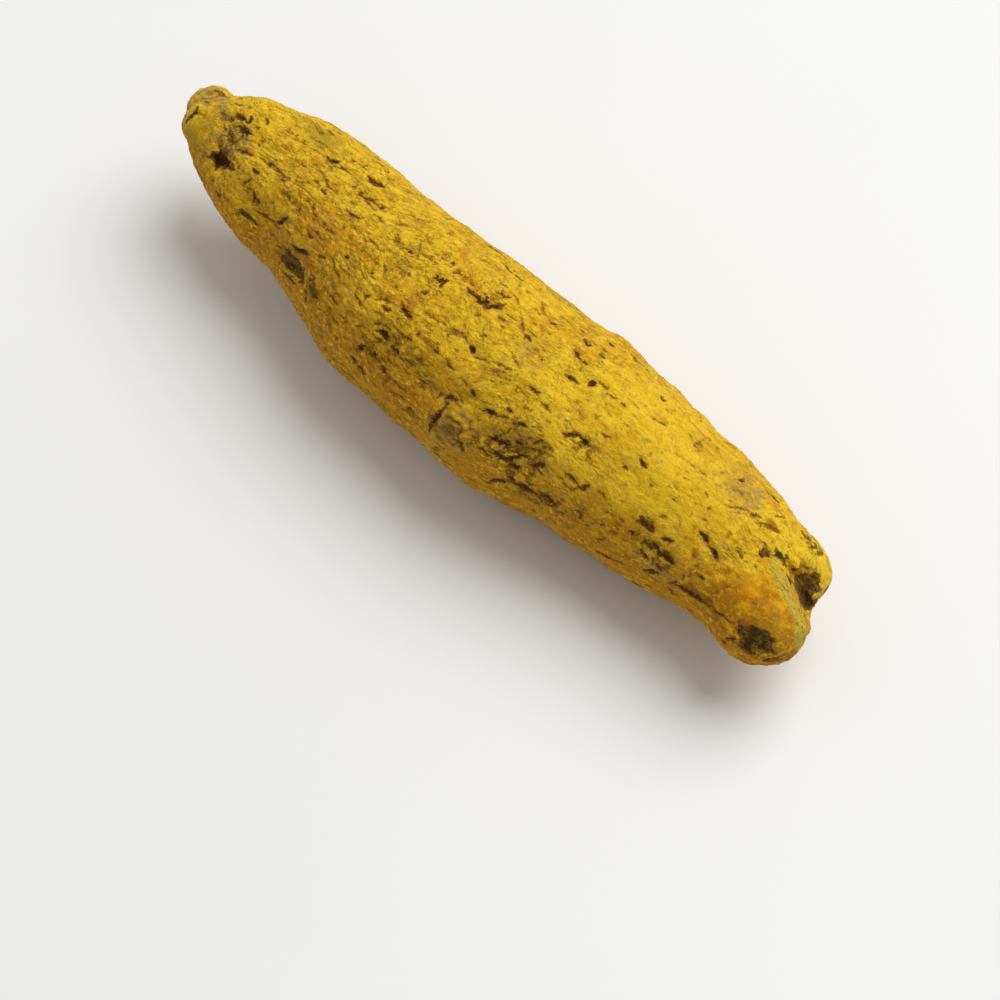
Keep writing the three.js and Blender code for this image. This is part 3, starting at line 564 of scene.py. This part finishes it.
def strewCracks(points, normals, likely):
    # measured cracks first, then seeded ones wherever a layer has room
    chance = np.random.default_rng(crackSizes["seed"])
    cell = crackSizes["cellMm"]
    layers = [[] for _ in range(crackSizes["layers"])]
    taken = [set() for _ in layers]
    turns = noiseField(points, [crackSizes["turnSizeMm"]] * 3, crackSizes["seed"])

    def addCrack(halfWidth, depth, line):
        samples = np.concatenate([np.linspace(a, b, 6) for a, b in zip(line[:-1], line[1:])])
        cells = {tuple(c) for c in np.floor(samples / cell).astype(int).tolist()}
        for layer, busy in zip(layers, taken):
            if not cells & busy:
                layer.append((halfWidth, depth, line))
                busy.update((x + i, y + j, z + k) for x, y, z in cells
                            for i in (-1, 0, 1) for j in (-1, 0, 1) for k in (-1, 0, 1))
                return

    for halfWidth, depth, line in measuredCracks:
        addCrack(halfWidth, depth, np.array(line))
    for index in chance.integers(0, len(points), crackSizes["tries"]):
        kept, size, jogs = chance.random(), chance.random(4), chance.normal(0, crackSizes["jogMm"], 5)
        loose = chance.normal(0, crackSizes["looseDeg"])
        if kept > likely[index]:
            continue
        normal = normals[index]
        way = np.array((1.0, 0, 0)) - normal[0] * normal
        way /= np.linalg.norm(way)
        turn = math.radians(crackSizes["turnDeg"] * turns[index] + loose)
        aside = np.cross(normal, way)
        way, aside = (math.cos(turn) * way + math.sin(turn) * aside,
                      math.cos(turn) * aside - math.sin(turn) * way)
        short, long = crackSizes["longMm"]
        length = short + (long - short) * size[0] ** 2
        thin, thick = crackSizes["halfWidthMm"]
        stops = np.linspace(-0.5, 0.5, 5) * length
        line = points[index] + stops[:, None] * way + jogs[:, None] * aside
        addCrack(thin + (thick - thin) * size[1] ** 1.5 * likely[index], 0.25 + 0.6 * size[2] ** 2, line)
    return layers


def crackField(points, normals, cracks):
    # for each point: distance across the nearest crack, half its width there (below 0 where none is), depth
    field = np.tile((1.0, -0.1, 0.0), (len(points), 1))
    reach = crackSizes["reachMm"]
    for halfWidth, depth, line in cracks:
        middle = (line[0] + line[-1]) / 2
        span = np.linalg.norm(line - middle, axis=1).max() + reach
        near = np.flatnonzero(np.abs(points[:, 0] - middle[0]) < span)
        near = near[np.linalg.norm(points[near] - middle, axis=1) < span]
        if not len(near):
            continue
        heading = np.cross(normals[near].mean(0), line[-1] - line[0]) @ np.array(skinSizes["paintedLightWay"])
        across, share = acrossCrack(points[near], normals[near], line if heading > 0 else line[::-1])
        taper = 1 - (2 * share - 1) ** 2
        width = halfWidth * np.clip(taper, -1, 1) - 0.12 * smoothRamp(np.abs(across), 0.6 * reach, reach)
        closer = np.abs(across) < np.minimum(np.abs(field[near, 0]), reach)
        field[near[closer]] = np.stack((across, width, np.full(len(near), depth)), 1)[closer]
    return field


def wearCuts(points, edges):
    even = neighbourAverage(points, edges, 22)
    for place, reach, share in wornPlaces:
        distance = np.linalg.norm(points - np.array(place), axis=1)
        points = points + (share * smoothRamp(distance, reach, 0.6 * reach))[:, None] * (even - points)
    return points


def shapeSkin(skin):
    mesh = skin.data
    edges = np.empty(len(mesh.edges) * 2, np.int32)
    mesh.edges.foreach_get("vertices", edges)
    edges = edges.reshape(-1, 2)
    points = wearCuts(readVectors(mesh.vertices, "co"), edges)
    normals = readVectors(mesh.vertex_normals, "vector")
    seed = skinSizes["seed"]
    wander = noiseField(points, (0.7, 0.5, 0.5), seed + 5)
    fields = {name: markField(points, marks, wander) for name, marks in skinMarks.items()}
    edgeDistance = distanceToLine(points, snappedEdge["line"]) * (1 + 0.5 * wander)
    edgeHalf = snappedEdge["halfWidthMm"]
    fields["snapped"] = smoothRamp(edgeDistance, 1.4 * edgeHalf, 0.5 * edgeHalf)
    liveliness = (1 - fields["calm"]) * (1 - 0.6 * fields["snapped"])

    # every crack that the solid has gets ragged edges
    raggedSizes = [skinSizes["raggedSizeMm"]] * 3
    ragged = np.stack([noiseField(points, raggedSizes, seed + 11 * k) for k in (1, 2, 3)], 1)
    points = points + skinSizes["raggedMm"] * ragged * liveliness[:, None]

    # the grain of the skin runs along the root, but wanders
    bendSizes = [skinSizes["bendSizeMm"]] * 3
    bend = np.stack([noiseField(points, bendSizes, seed + 31 * k) for k in (1, 2, 3)], 1)
    flow = points + skinSizes["bendMm"] * bend
    swell = noiseField(points, [skinSizes["swellSizeMm"]] * 3, seed)
    wrinkleSizes = (skinSizes["wrinkleLongMm"], skinSizes["wrinkleWideMm"], skinSizes["wrinkleWideMm"])
    wrinkle = noiseField(flow, wrinkleSizes, seed + 2)
    scaleSizes = (skinSizes["scaleLongMm"], skinSizes["scaleWideMm"], skinSizes["scaleWideMm"])
    steps = (noiseField(flow + 0.3 * ragged, scaleSizes, seed + 3) + 1) * skinSizes["scaleSteps"]
    scale = (steps % 1) ** 2.2 - 0.3
    splitSizes = (skinSizes["splitLongMm"], skinSizes["splitWideMm"], skinSizes["splitWideMm"])
    splitNoise = noiseField(flow + 0.16 * ragged, splitSizes, seed + 7)
    closeness = smoothRamp(noiseField(points, (3.6, 2.2, 2.2), seed + 9), 0.0, 0.5)
    closeness = np.maximum(closeness, fields["cracked"])
    splitFrom = skinSizes["splitFrom"] - skinSizes["splitClose"] * closeness
    split = smoothRamp(splitNoise, splitFrom, splitFrom + 0.18) * liveliness
    grain = noiseField(points, [skinSizes["grainSizeMm"]] * 3, seed + 13)
    rise = liveliness * (
        skinSizes["swellMm"] * swell
        + skinSizes["wrinkleMm"] * wrinkle
        + skinSizes["scaleMm"] * scale * (1 + 0.8 * fields["cracked"])
    ) + skinSizes["grainMm"] * grain - skinSizes["splitMm"] * split
    broadNormals = neighbourAverage(normals, edges, 40)
    broadNormals /= np.linalg.norm(broadNormals, axis=1)[:, None]
    likely = np.clip(0.25 + 0.75 * closeness, 0, 1) * (1 - 0.85 * fields["calm"]) * (1 - fields["snapped"])
    torn = []
    for number, cracks in enumerate(strewCracks(points, broadNormals, likely)):
        crack = crackField(points, broadNormals, cracks)
        torn.append(crack)
        around = smoothRamp(np.abs(crack[:, 0]), np.maximum(crack[:, 1], 0) + 0.17, 0.0)
        rise -= crackSizes["depth"] * np.maximum(crack[:, 1], 0) * crack[:, 2] * around
        print("cracks in layer", number, len(cracks))
    for centre, reach, height in softDomes:
        rise += height * smoothRamp(np.linalg.norm(points - np.array(centre), axis=1), reach, 0.0)
    broken = noiseField(points, (0.8, 0.6, 0.6), seed + 15)
    ringed = np.zeros(len(points))
    for centre, radius, spacing, height in budScars:
        distance = np.linalg.norm(points - np.array(centre), axis=1) * (1 + 0.6 * wander)
        inside = smoothRamp(distance, 1.25 * radius, 0.8 * radius)
        wave = np.cos(2 * math.pi * distance / spacing) * smoothRamp(broken, -0.45, 0.25)
        rise += height * inside * (wave - 0.4)
        ringed = np.maximum(ringed, inside * smoothRamp(wave, 0.1, -0.7))
    fields["ringed"] = ringed
    # painted shade: how far the skin faces away from the light, for a darker orange there
    fields["low"] = smoothRamp(broadNormals @ np.array(skinSizes["paintedLightWay"]), 0.5, -0.3)
    lying = smoothRamp(points[:, 2], 0.02, skinSizes["restMm"])
    points += normals * (rise * lying)[:, None]
    points[:, 2] = np.maximum(points[:, 2], 0)
    for axis in range(3):
        points[:, axis] = np.clip(points[:, axis], cadBox[0][axis] / mm, cadBox[1][axis] / mm)
    mesh.vertices.foreach_set("co", points.astype(np.float32).ravel())
    mesh.update()
    print("skin shaped")

    # how far each point lies in a hollow, for the shade and bare cork found there
    normals = neighbourAverage(readVectors(mesh.vertex_normals, "vector"), edges, 3)
    nearby = ((neighbourAverage(points, edges, 10) - points) * normals).sum(1)
    around = ((neighbourAverage(points, edges, 60) - points) * normals).sum(1)
    fields["hollow"] = np.clip(nearby / 0.11, -1, 1)
    fields["dip"] = np.clip(around / 0.3, -1, 1)
    # painted light and shade: how much more a point's slope faces the light than the skin around it, for
    # lit and shaded crack walls
    fields["litWall"] = np.clip((normals - broadNormals) @ np.array(skinSizes["paintedLightWay"]) / 0.5, -1, 1)
    for name, field in fields.items():
        layer = mesh.attributes.new(name, "FLOAT", "POINT")
        layer.data.foreach_set("value", field.astype(np.float32))
    vectors = {"flow": flow, **{f"crack{number}": crack for number, crack in enumerate(torn)}}
    for name, vector in vectors.items():
        layer = mesh.attributes.new(name, "FLOAT_VECTOR", "POINT")
        layer.data.foreach_set("vector", vector.astype(np.float32).ravel())
    mesh.transform(Matrix.Scale(mm, 4))
    selectOnly(skin)
    bpy.ops.object.shade_smooth()
    print("skin marks painted:", ", ".join(fields))


def dropBubbles(skin):
    # meshing can leave a tiny closed bubble inside: only what hangs together with the tip stays
    selectOnly(skin)
    bpy.ops.object.mode_set(mode="EDIT")
    bpy.ops.mesh.select_mode(type="VERT")
    bpy.ops.mesh.select_all(action="DESELECT")
    bpy.ops.object.mode_set(mode="OBJECT")
    tip = min(skin.data.vertices, key=lambda vertex: vertex.co.x)
    tip.select = True
    bpy.ops.object.mode_set(mode="EDIT")
    bpy.ops.mesh.select_linked()
    bpy.ops.mesh.select_all(action="INVERT")
    bpy.ops.mesh.delete(type="VERT")
    bpy.ops.object.mode_set(mode="OBJECT")
    print("skin in one piece:", len(skin.data.polygons), "faces")


# Cork skin of a boiled and dried turmeric finger, rubbed with its own powder: dead matt, golden yellow,
# browner wherever the powder has not reached. Every size below is in millimetres.
skinFinish = {
    "powder": "#e4b41f",
    "deepPowder": "#d5a21b",
    # fresh powder colour, also used as a painted highlight on the flakes
    "freshPowderAndHighlight": "#f3cb2d",
    "orange": "#ca820a",
    # brown powder, also the painted shade of the front lobe
    "brownPowderAndShade": "#ab700a",
    "tan": "#bd9a42",
    "mauve": "#a27c48",
    "olive": "#a98c20",
    "hollow": "#965f0f",
    "split": "#6b3a10",
    # painted light: the tan of crack walls that face the light
    "deepest": "#412308",
    "litCrackWall": "#a87a34",
    "umber": "#7d5212",
    "scar": "#70592c",
    "scarDark": "#2b1f0f",
    "snapped": "#c3aa3a",
    "snappedDark": "#947a2f",
    # painted shade: darker orange for the side turned from the light
    "paintedShadePowder": "#be7c0b",
    "stain": "#ab5d16",
    "patchMm": 5.5,  # broad change of tone
    "cloudMm": 1.6,
    "freshMm": 0.8,
    "mottleMm": 0.26,
    "flakeMm": 0.24,
    "flakePatchMm": 1.1,
    "bareMm": 2.4,
    "ledgePatchMm": 0.6,
    "crowdMm": 2.2,
    "jagMm": 0.2,  # torn edges of the cracks
    "frayMm": 0.26,
    "tornMm": 0.36,  # torn edges of the painted marks
    "fibreMm": 0.16,  # snapped wood
    "fleckMm": 0.42,
    "dustMm": 0.14,  # coarser than the real dust, which is too fine to show
    "splitLongMm": 1.7,
    "splitWideMm": 0.34,
    "scaleLongMm": 1.8,
    "scaleWideMm": 0.5,
    "plateLongMm": 1.4,
    "plateWideMm": 0.9,
    "roughness": 0.95,
    "sheen": 0.04,
    "reliefMm": {  # heights finer than the mesh
        "dust": 0.055, "mottle": 0.085, "flake": 0.05, "ledge": 0.09, "split": 0.06, "groove": 0.13,
        "gap": 0.07,
    },
}


def powderedCork():
    material = bpy.data.materials.new("driedTurmericCork")
    material.use_nodes = True
    tree = material.node_tree
    tree.nodes.clear()
    finish = skinFinish
    colour = {name: linearColour(value) for name, value in finish.items() if isinstance(value, str)}
    place = addNode(tree, "ShaderNodeTexCoord").outputs["Object"]
    inMm = addNode(tree, "ShaderNodeMapping", {"Vector": place, "Scale": (1000, 1000, 1000)}).outputs[0]
    flow = addNode(tree, "ShaderNodeAttribute", attribute_name="flow").outputs["Vector"]

    def cloud(sizeMm, longMm=None, seed=0.0, detail=2.0, rough=0.55, along=None):
        # soft noise with features of one size, or longer along the grain of the skin
        stretched = addNode(tree, "ShaderNodeMapping", {
            "Vector": along or inMm, "Scale": (1 / (longMm or sizeMm), 1 / sizeMm, 1 / sizeMm),
            "Location": (seed, 2 * seed, 3 * seed)}).outputs[0]
        return addNode(tree, "ShaderNodeTexNoise", {
            "Vector": stretched, "Scale": 1.0, "Detail": detail, "Roughness": rough}).outputs["Fac"]

    def ramp(value, low, high, bottom=0.0, top=1.0):
        return addNode(tree, "ShaderNodeMapRange", {
            "Value": value, "From Min": low, "From Max": high, "To Min": bottom, "To Max": top,
        }, interpolation_type="SMOOTHSTEP").outputs[0]

    def reckon(kind, a, b):
        return addNode(tree, "ShaderNodeMath", {0: a, 1: b}, operation=kind).outputs[0]

    def over(base, top, share):
        return addNode(tree, "ShaderNodeMix", {0: share, 6: base, 7: top}, data_type="RGBA").outputs[2]

    def painted(name):
        return addNode(tree, "ShaderNodeAttribute", attribute_name=name).outputs["Fac"]

    # powder: broad patches, clouds, fresh spots and a fine mottle
    hollow, dip, close = painted("hollow"), painted("dip"), painted("cracked")
    lively = reckon("SUBTRACT", 1.0, reckon("MULTIPLY", painted("calm"), 0.9))
    patches = ramp(cloud(finish["patchMm"], seed=1.0), 0.4, 0.62)
    tint = over(colour["powder"], colour["deepPowder"], patches)
    clouds = ramp(cloud(finish["cloudMm"], 2.2, seed=2.0, detail=5, rough=0.65, along=flow), 0.5, 0.66)
    tint = over(tint, colour["orange"], reckon("MULTIPLY", clouds, 0.6))
    fresh = ramp(cloud(finish["freshMm"], 1.4, seed=3.0, detail=5, rough=0.65, along=flow), 0.5, 0.62)
    tint = over(tint, colour["freshPowderAndHighlight"], reckon("MULTIPLY", fresh, 0.7))
    # fresh powder, and painted light where these marks brighten dim places
    tint = over(tint, colour["freshPowderAndHighlight"], reckon("MULTIPLY", painted("fresh"), 0.75))
    # painted shade: the side turned from the light is tinted darker orange
    tint = over(tint, colour["paintedShadePowder"], reckon("MULTIPLY", painted("low"), 0.75))
    # orange tones, and painted shade on the front lobe that turns away from the light
    tint = over(tint, colour["orange"], ramp(painted("warmAndShade"), 0.0, 0.7, 0.0, 0.85))
    tint = over(tint, colour["brownPowderAndShade"], ramp(painted("warmAndShade"), 0.55, 1.0, 0.0, 0.8))
    mottle = cloud(finish["mottleMm"], 0.4, seed=4.0, detail=4, rough=0.7, along=flow)
    tint = over(tint, colour["brownPowderAndShade"],
                reckon("MULTIPLY", ramp(mottle, 0.46, 0.3, 0.0, 0.7), ramp(lively, 0.2, 1.0, 0.5, 1.0)))
    tint = over(tint, colour["freshPowderAndHighlight"], ramp(mottle, 0.55, 0.7, 0.0, 0.5))
    # flakes: raised in the relief below, with a painted highlight on their tops and painted shade between
    # them
    flake = cloud(finish["flakeMm"], 0.36, seed=15.0, detail=4, rough=0.62, along=flow)
    flakePatches = ramp(cloud(finish["flakePatchMm"], 1.6, seed=16.0, detail=3), 0.35, 0.62, 0.25, 1.0)
    rough = reckon("MULTIPLY", ramp(lively, 0.1, 1.0, 0.4, 1.0), flakePatches)
    tint = over(tint, colour["freshPowderAndHighlight"], reckon("MULTIPLY", rough, ramp(flake, 0.52, 0.64, 0.0, 0.85)))
    tint = over(tint, colour["hollow"], reckon("MULTIPLY", rough, ramp(flake, 0.44, 0.34, 0.0, 0.5)))
    bareHere = ramp(cloud(finish["bareMm"], seed=5.0), 0.44, 0.58)
    flecks = ramp(cloud(finish["fleckMm"], 0.7, seed=6.0, detail=4, rough=0.65, along=flow), 0.54, 0.64)
    tint = over(tint, colour["mauve"], reckon("MULTIPLY", reckon("MULTIPLY", flecks, bareHere), 0.55))
    tint = over(tint, colour["olive"], reckon("MULTIPLY", painted("olive"), 0.8))
    tint = over(tint, colour["orange"], ramp(dip, 0.05, 0.9, 0.0, 0.6))
    tint = over(tint, colour["freshPowderAndHighlight"], ramp(hollow, -0.15, -0.8, 0.0, 0.5))

    # torn cracks, drawn from how far each point lies across them
    jag = cloud(finish["jagMm"], 0.24, seed=21.0, detail=4, rough=0.75, along=flow)
    fray = cloud(finish["frayMm"], 0.32, seed=22.0, detail=4, rough=0.7, along=flow)
    frayed = ramp(fray, 0.36, 0.6, 0.35, 1.3)
    gash, rim, below, groove = 0.0, 0.0, 0.0, 0.0
    for number in range(crackSizes["layers"]):
        crack = addNode(tree, "ShaderNodeAttribute", attribute_name=f"crack{number}").outputs["Vector"]
        parts = addNode(tree, "ShaderNodeSeparateXYZ", {0: crack}).outputs
        across = reckon("ADD", parts[0], reckon("MULTIPLY", reckon("SUBTRACT", jag, 0.5), 0.55))
        half = reckon("MULTIPLY", parts[1], frayed)
        edge = reckon("SUBTRACT", reckon("ABSOLUTE", across, 0.0), half)
        here = ramp(half, 0.003, 0.02)
        strong = reckon("MULTIPLY", here, parts[2])
        gash = reckon("MAXIMUM", gash, reckon("MULTIPLY", strong, ramp(edge, 0.014, -0.055)))
        rim = reckon("MAXIMUM", rim, reckon("MULTIPLY", strong, ramp(edge, 0.13, 0.01)))
        # painted light: the lower side of each crack, whose wall faces the light
        beside = reckon("MULTIPLY", strong, ramp(edge, 0.14, 0.02))
        below = reckon("MAXIMUM", below, reckon("MULTIPLY", beside, ramp(across, 0.0, -0.07)))
        groove = reckon("MAXIMUM", groove, reckon("MULTIPLY", strong, ramp(edge, 0.05, -0.07)))

    # ledges of thin cork, each with a shaded edge
    steps = cloud(finish["scaleWideMm"], finish["scaleLongMm"], seed=7.0, detail=3, along=flow)
    scale = reckon("FRACT", reckon("MULTIPLY", steps, 7.0), 0.0)
    ledgeHere = ramp(reckon("ADD", cloud(finish["ledgePatchMm"], 1.0, seed=8.0, detail=3, along=flow),
                            reckon("MULTIPLY", close, 0.12)), 0.48, 0.6)
    ledgeHere = reckon("MULTIPLY", ledgeHere, lively)
    ledge = reckon("MULTIPLY", ramp(scale, 0.22, 0.02), ledgeHere)
    tint = over(tint, colour["hollow"], reckon("MULTIPLY", ledge, 0.85))

    # fine splits, too narrow for the mesh
    crowd = ramp(reckon("ADD", cloud(finish["crowdMm"], 3.4, seed=9.0, detail=2),
                        reckon("MULTIPLY", close, 0.1)), 0.46, 0.62)
    lens = cloud(finish["splitWideMm"], finish["splitLongMm"], seed=10.0, detail=3, rough=0.62, along=flow)
    lens = reckon("ADD", lens, reckon("MULTIPLY", crowd, 0.07))
    split = reckon("MULTIPLY", ramp(lens, 0.7, 0.76), lively)
    splitLip = reckon("MULTIPLY", ramp(lens, 0.65, 0.72), lively)
    tint = over(tint, colour["hollow"], reckon("MULTIPLY", splitLip, 0.45))
    tint = over(tint, colour["split"], reckon("MULTIPLY", split, 0.6))

    # plates of cracked cork, where the cracks lie close
    acrossPlate = 1 / finish["plateWideMm"]
    plateSpot = addNode(tree, "ShaderNodeMapping", {
        "Vector": flow, "Scale": (1 / finish["plateLongMm"], acrossPlate, acrossPlate)}).outputs[0]
    plateWarp = addNode(tree, "ShaderNodeTexNoise", {
        "Vector": inMm, "Scale": 1.6, "Detail": 3.0}).outputs["Color"]
    plateSpot = addNode(tree, "ShaderNodeVectorMath", {0: plateWarp, 1: (1.4, 1.4, 1.4), 2: plateSpot},
                        operation="MULTIPLY_ADD").outputs[0]
    plate = addNode(tree, "ShaderNodeTexVoronoi", {"Vector": plateSpot, "Scale": 1.0},
                    feature="DISTANCE_TO_EDGE").outputs["Distance"]
    layered = ramp(reckon("ADD", close, painted("umber")), 0.5, 1.1)
    plateHere = reckon("MULTIPLY", layered, ramp(frayed, 0.5, 0.9))
    gap = reckon("MULTIPLY", ramp(plate, 0.13, 0.02), plateHere)

    # marks painted on the skin
    broken = cloud(finish["tornMm"], 0.6, seed=11.0, detail=4, rough=0.65, along=flow)

    def torn(name, edge=1.6):
        # a painted mark with torn edges and a whole middle
        wander = reckon("MULTIPLY", reckon("SUBTRACT", broken, 0.5), edge)
        return ramp(reckon("ADD", painted(name), wander), 0.15, 0.75)

    tint = over(tint, over(colour["tan"], colour["mauve"], ramp(mottle, 0.42, 0.56)),
                reckon("MULTIPLY", torn("rubbed", 2.4), 0.75))
    tint = over(tint, colour["umber"],
                reckon("MULTIPLY", torn("umber", 2.4), ramp(plate, 0.4, 0.05, 0.08, 0.6)))
    tint = over(tint, colour["stain"], reckon("MULTIPLY", torn("stained"), 0.75))
    bare = over(over(colour["scarDark"], colour["umber"], ramp(broken, 0.45, 0.6)), colour["scar"],
                ramp(mottle, 0.45, 0.6))
    bare = over(bare, colour["scarDark"], ramp(painted("scar"), 0.86, 1.0, 0.0, 0.8))
    tint = over(tint, bare, reckon("MULTIPLY", ramp(torn("scar", 2.2), 0.05, 0.6), 0.95))
    fibres = cloud(finish["fibreMm"], 0.9, seed=14.0, detail=3, rough=0.6, along=flow)
    wood = over(over(colour["snapped"], colour["snappedDark"], ramp(fibres, 0.5, 0.62)), colour["powder"],
                ramp(fresh, 0.2, 0.9, 0.0, 0.7))
    tint = over(tint, wood, torn("snapped", 2.0))
    tint = over(tint, colour["hollow"], reckon("MULTIPLY", painted("ringed"), 0.7))
    # painted light and shade in the cracks: walls facing the light get a lit tan, walls turned from it dark
    # brown
    litWall = ramp(painted("litWall"), -0.25, 0.35)
    tornHollow = reckon("ADD", hollow, reckon("MULTIPLY", reckon("SUBTRACT", jag, 0.5), 1.5))
    litAndShadedWalls = over(colour["hollow"], colour["litCrackWall"], litWall)
    tint = over(tint, litAndShadedWalls, ramp(tornHollow, 0.2, 0.65, 0.0, 0.9))
    dark = over(colour["split"], colour["deepest"], ramp(broken, 0.4, 0.6))
    tint = over(tint, over(dark, colour["hollow"], litWall), ramp(tornHollow, 0.6, 0.95, 0.0, 0.95))
    # painted light on the lit lower side of each crack
    tint = over(tint, colour["litCrackWall"], reckon("MULTIPLY", below, 0.75))
    tint = over(tint, colour["hollow"], reckon("MULTIPLY", rim, 0.35))
    tint = over(tint, over(colour["umber"], dark, ramp(gash, 0.45, 0.95)),
                reckon("MAXIMUM", ramp(gash, 0.02, 0.6, 0.0, 0.9), reckon("MULTIPLY", gap, 0.8)))

    dust = cloud(finish["dustMm"], seed=12.0, detail=3, rough=0.7)
    shade = ramp(dust, 0.25, 0.75, 0.84, 1.12)
    shades = addNode(tree, "ShaderNodeCombineColor", {0: shade, 1: shade, 2: shade}).outputs[0]
    tint = addNode(tree, "ShaderNodeMix", {0: 1.0, 6: tint, 7: shades},
                   data_type="RGBA", blend_type="MULTIPLY").outputs[2]

    # relief finer than the mesh, in millimetres: dust, flakes, ledges and cracks
    relief = finish["reliefMm"]
    height = reckon("MULTIPLY", dust, relief["dust"])
    height = reckon("ADD", height, reckon("MULTIPLY", mottle, relief["mottle"]))
    flakes = reckon("MULTIPLY", ramp(flake, 0.38, 0.6), rough)
    height = reckon("ADD", height, reckon("MULTIPLY", flakes, relief["flake"]))
    ledges = reckon("MULTIPLY", scale, ledgeHere)
    height = reckon("ADD", height, reckon("MULTIPLY", ledges, relief["ledge"]))
    height = reckon("SUBTRACT", height, reckon("MULTIPLY", split, relief["split"]))
    height = reckon("SUBTRACT", height, reckon("MULTIPLY", groove, relief["groove"]))
    height = reckon("SUBTRACT", height, reckon("MULTIPLY", gap, relief["gap"]))
    bump = addNode(tree, "ShaderNodeBump", {"Strength": 0.9, "Distance": mm, "Height": height}).outputs[0]
    shader = addNode(tree, "ShaderNodeBsdfPrincipled", {
        "Base Color": tint, "Roughness": finish["roughness"], "IOR": 1.45, "Specular IOR Level": 0.12,
        "Sheen Weight": finish["sheen"], "Sheen Roughness": 0.5, "Normal": bump})
    addNode(tree, "ShaderNodeOutputMaterial", {"Surface": shader.outputs[0]})
    print("material made:", material.name)
    return material


turmericSkin = fineCopy(frame["nodes"]["turmeric_root"])
shapeSkin(turmericSkin)
dropBubbles(turmericSkin)
turmericSkin.data.materials.append(powderedCork())
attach(turmericSkin, "root")
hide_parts("turmeric_root")

# Pale table top
table = {
    "sizeM": 3.0,
    "colour": "#f2f2f0",
    "mottle": "#ebebe9",
    "mottleM": 0.05,
}


def paleLaminate():
    material = bpy.data.materials.new("mattPaleLaminate")
    material.use_nodes = True
    tree = material.node_tree
    tree.nodes.clear()
    place = addNode(tree, "ShaderNodeTexCoord").outputs["Object"]
    mottle = addNode(tree, "ShaderNodeTexNoise", {
        "Vector": place, "Scale": 1 / table["mottleM"]}).outputs["Fac"]
    tint = addNode(tree, "ShaderNodeMix", {
        0: mottle, 6: linearColour(table["colour"]), 7: linearColour(table["mottle"])}, data_type="RGBA")
    shader = addNode(tree, "ShaderNodeBsdfPrincipled", {"Base Color": tint.outputs[2], "Roughness": 0.6})
    addNode(tree, "ShaderNodeOutputMaterial", {"Surface": shader.outputs[0]})
    return material


bpy.ops.object.select_all(action="DESELECT")
bpy.ops.mesh.primitive_plane_add(size=table["sizeM"], location=(0, 0, 0))
tableTop = bpy.context.object
tableTop.name = "tableTop"
tableTop.data.materials.append(paleLaminate())

# Soft studio light from above the far side, with a weak fill from the near left
lights = {
    "skyColour": "#f6f6f4",
    "skyStrength": 0.42,
    "window": {"from": (0.2, 0.69, 1.2), "awayM": 0.6, "sizeM": 0.55, "watts": 3.1},
    "fill": {"from": (-0.9, -0.5, 0.8), "awayM": 0.6, "sizeM": 0.4, "watts": 0.15},
}


def lightRoom():
    world = bpy.data.worlds.new("room")
    world.use_nodes = True
    background = world.node_tree.nodes["Background"]
    background.inputs["Color"].default_value = linearColour(lights["skyColour"])
    background.inputs["Strength"].default_value = lights["skyStrength"]
    bpy.context.scene.world = world
    for name in ("window", "fill"):
        light = lights[name]
        way = Vector(light["from"]).normalized()
        bpy.ops.object.light_add(type="AREA", location=way * light["awayM"])
        lamp = bpy.context.object
        lamp.name = name
        lamp.rotation_euler = way.to_track_quat("Z", "Y").to_euler()
        lamp.data.shape = "DISK"
        lamp.data.size = light["sizeM"]
        lamp.data.energy = light["watts"]
    bpy.context.scene.view_settings.view_transform = "Standard"
    print("room lit")


lightRoom()
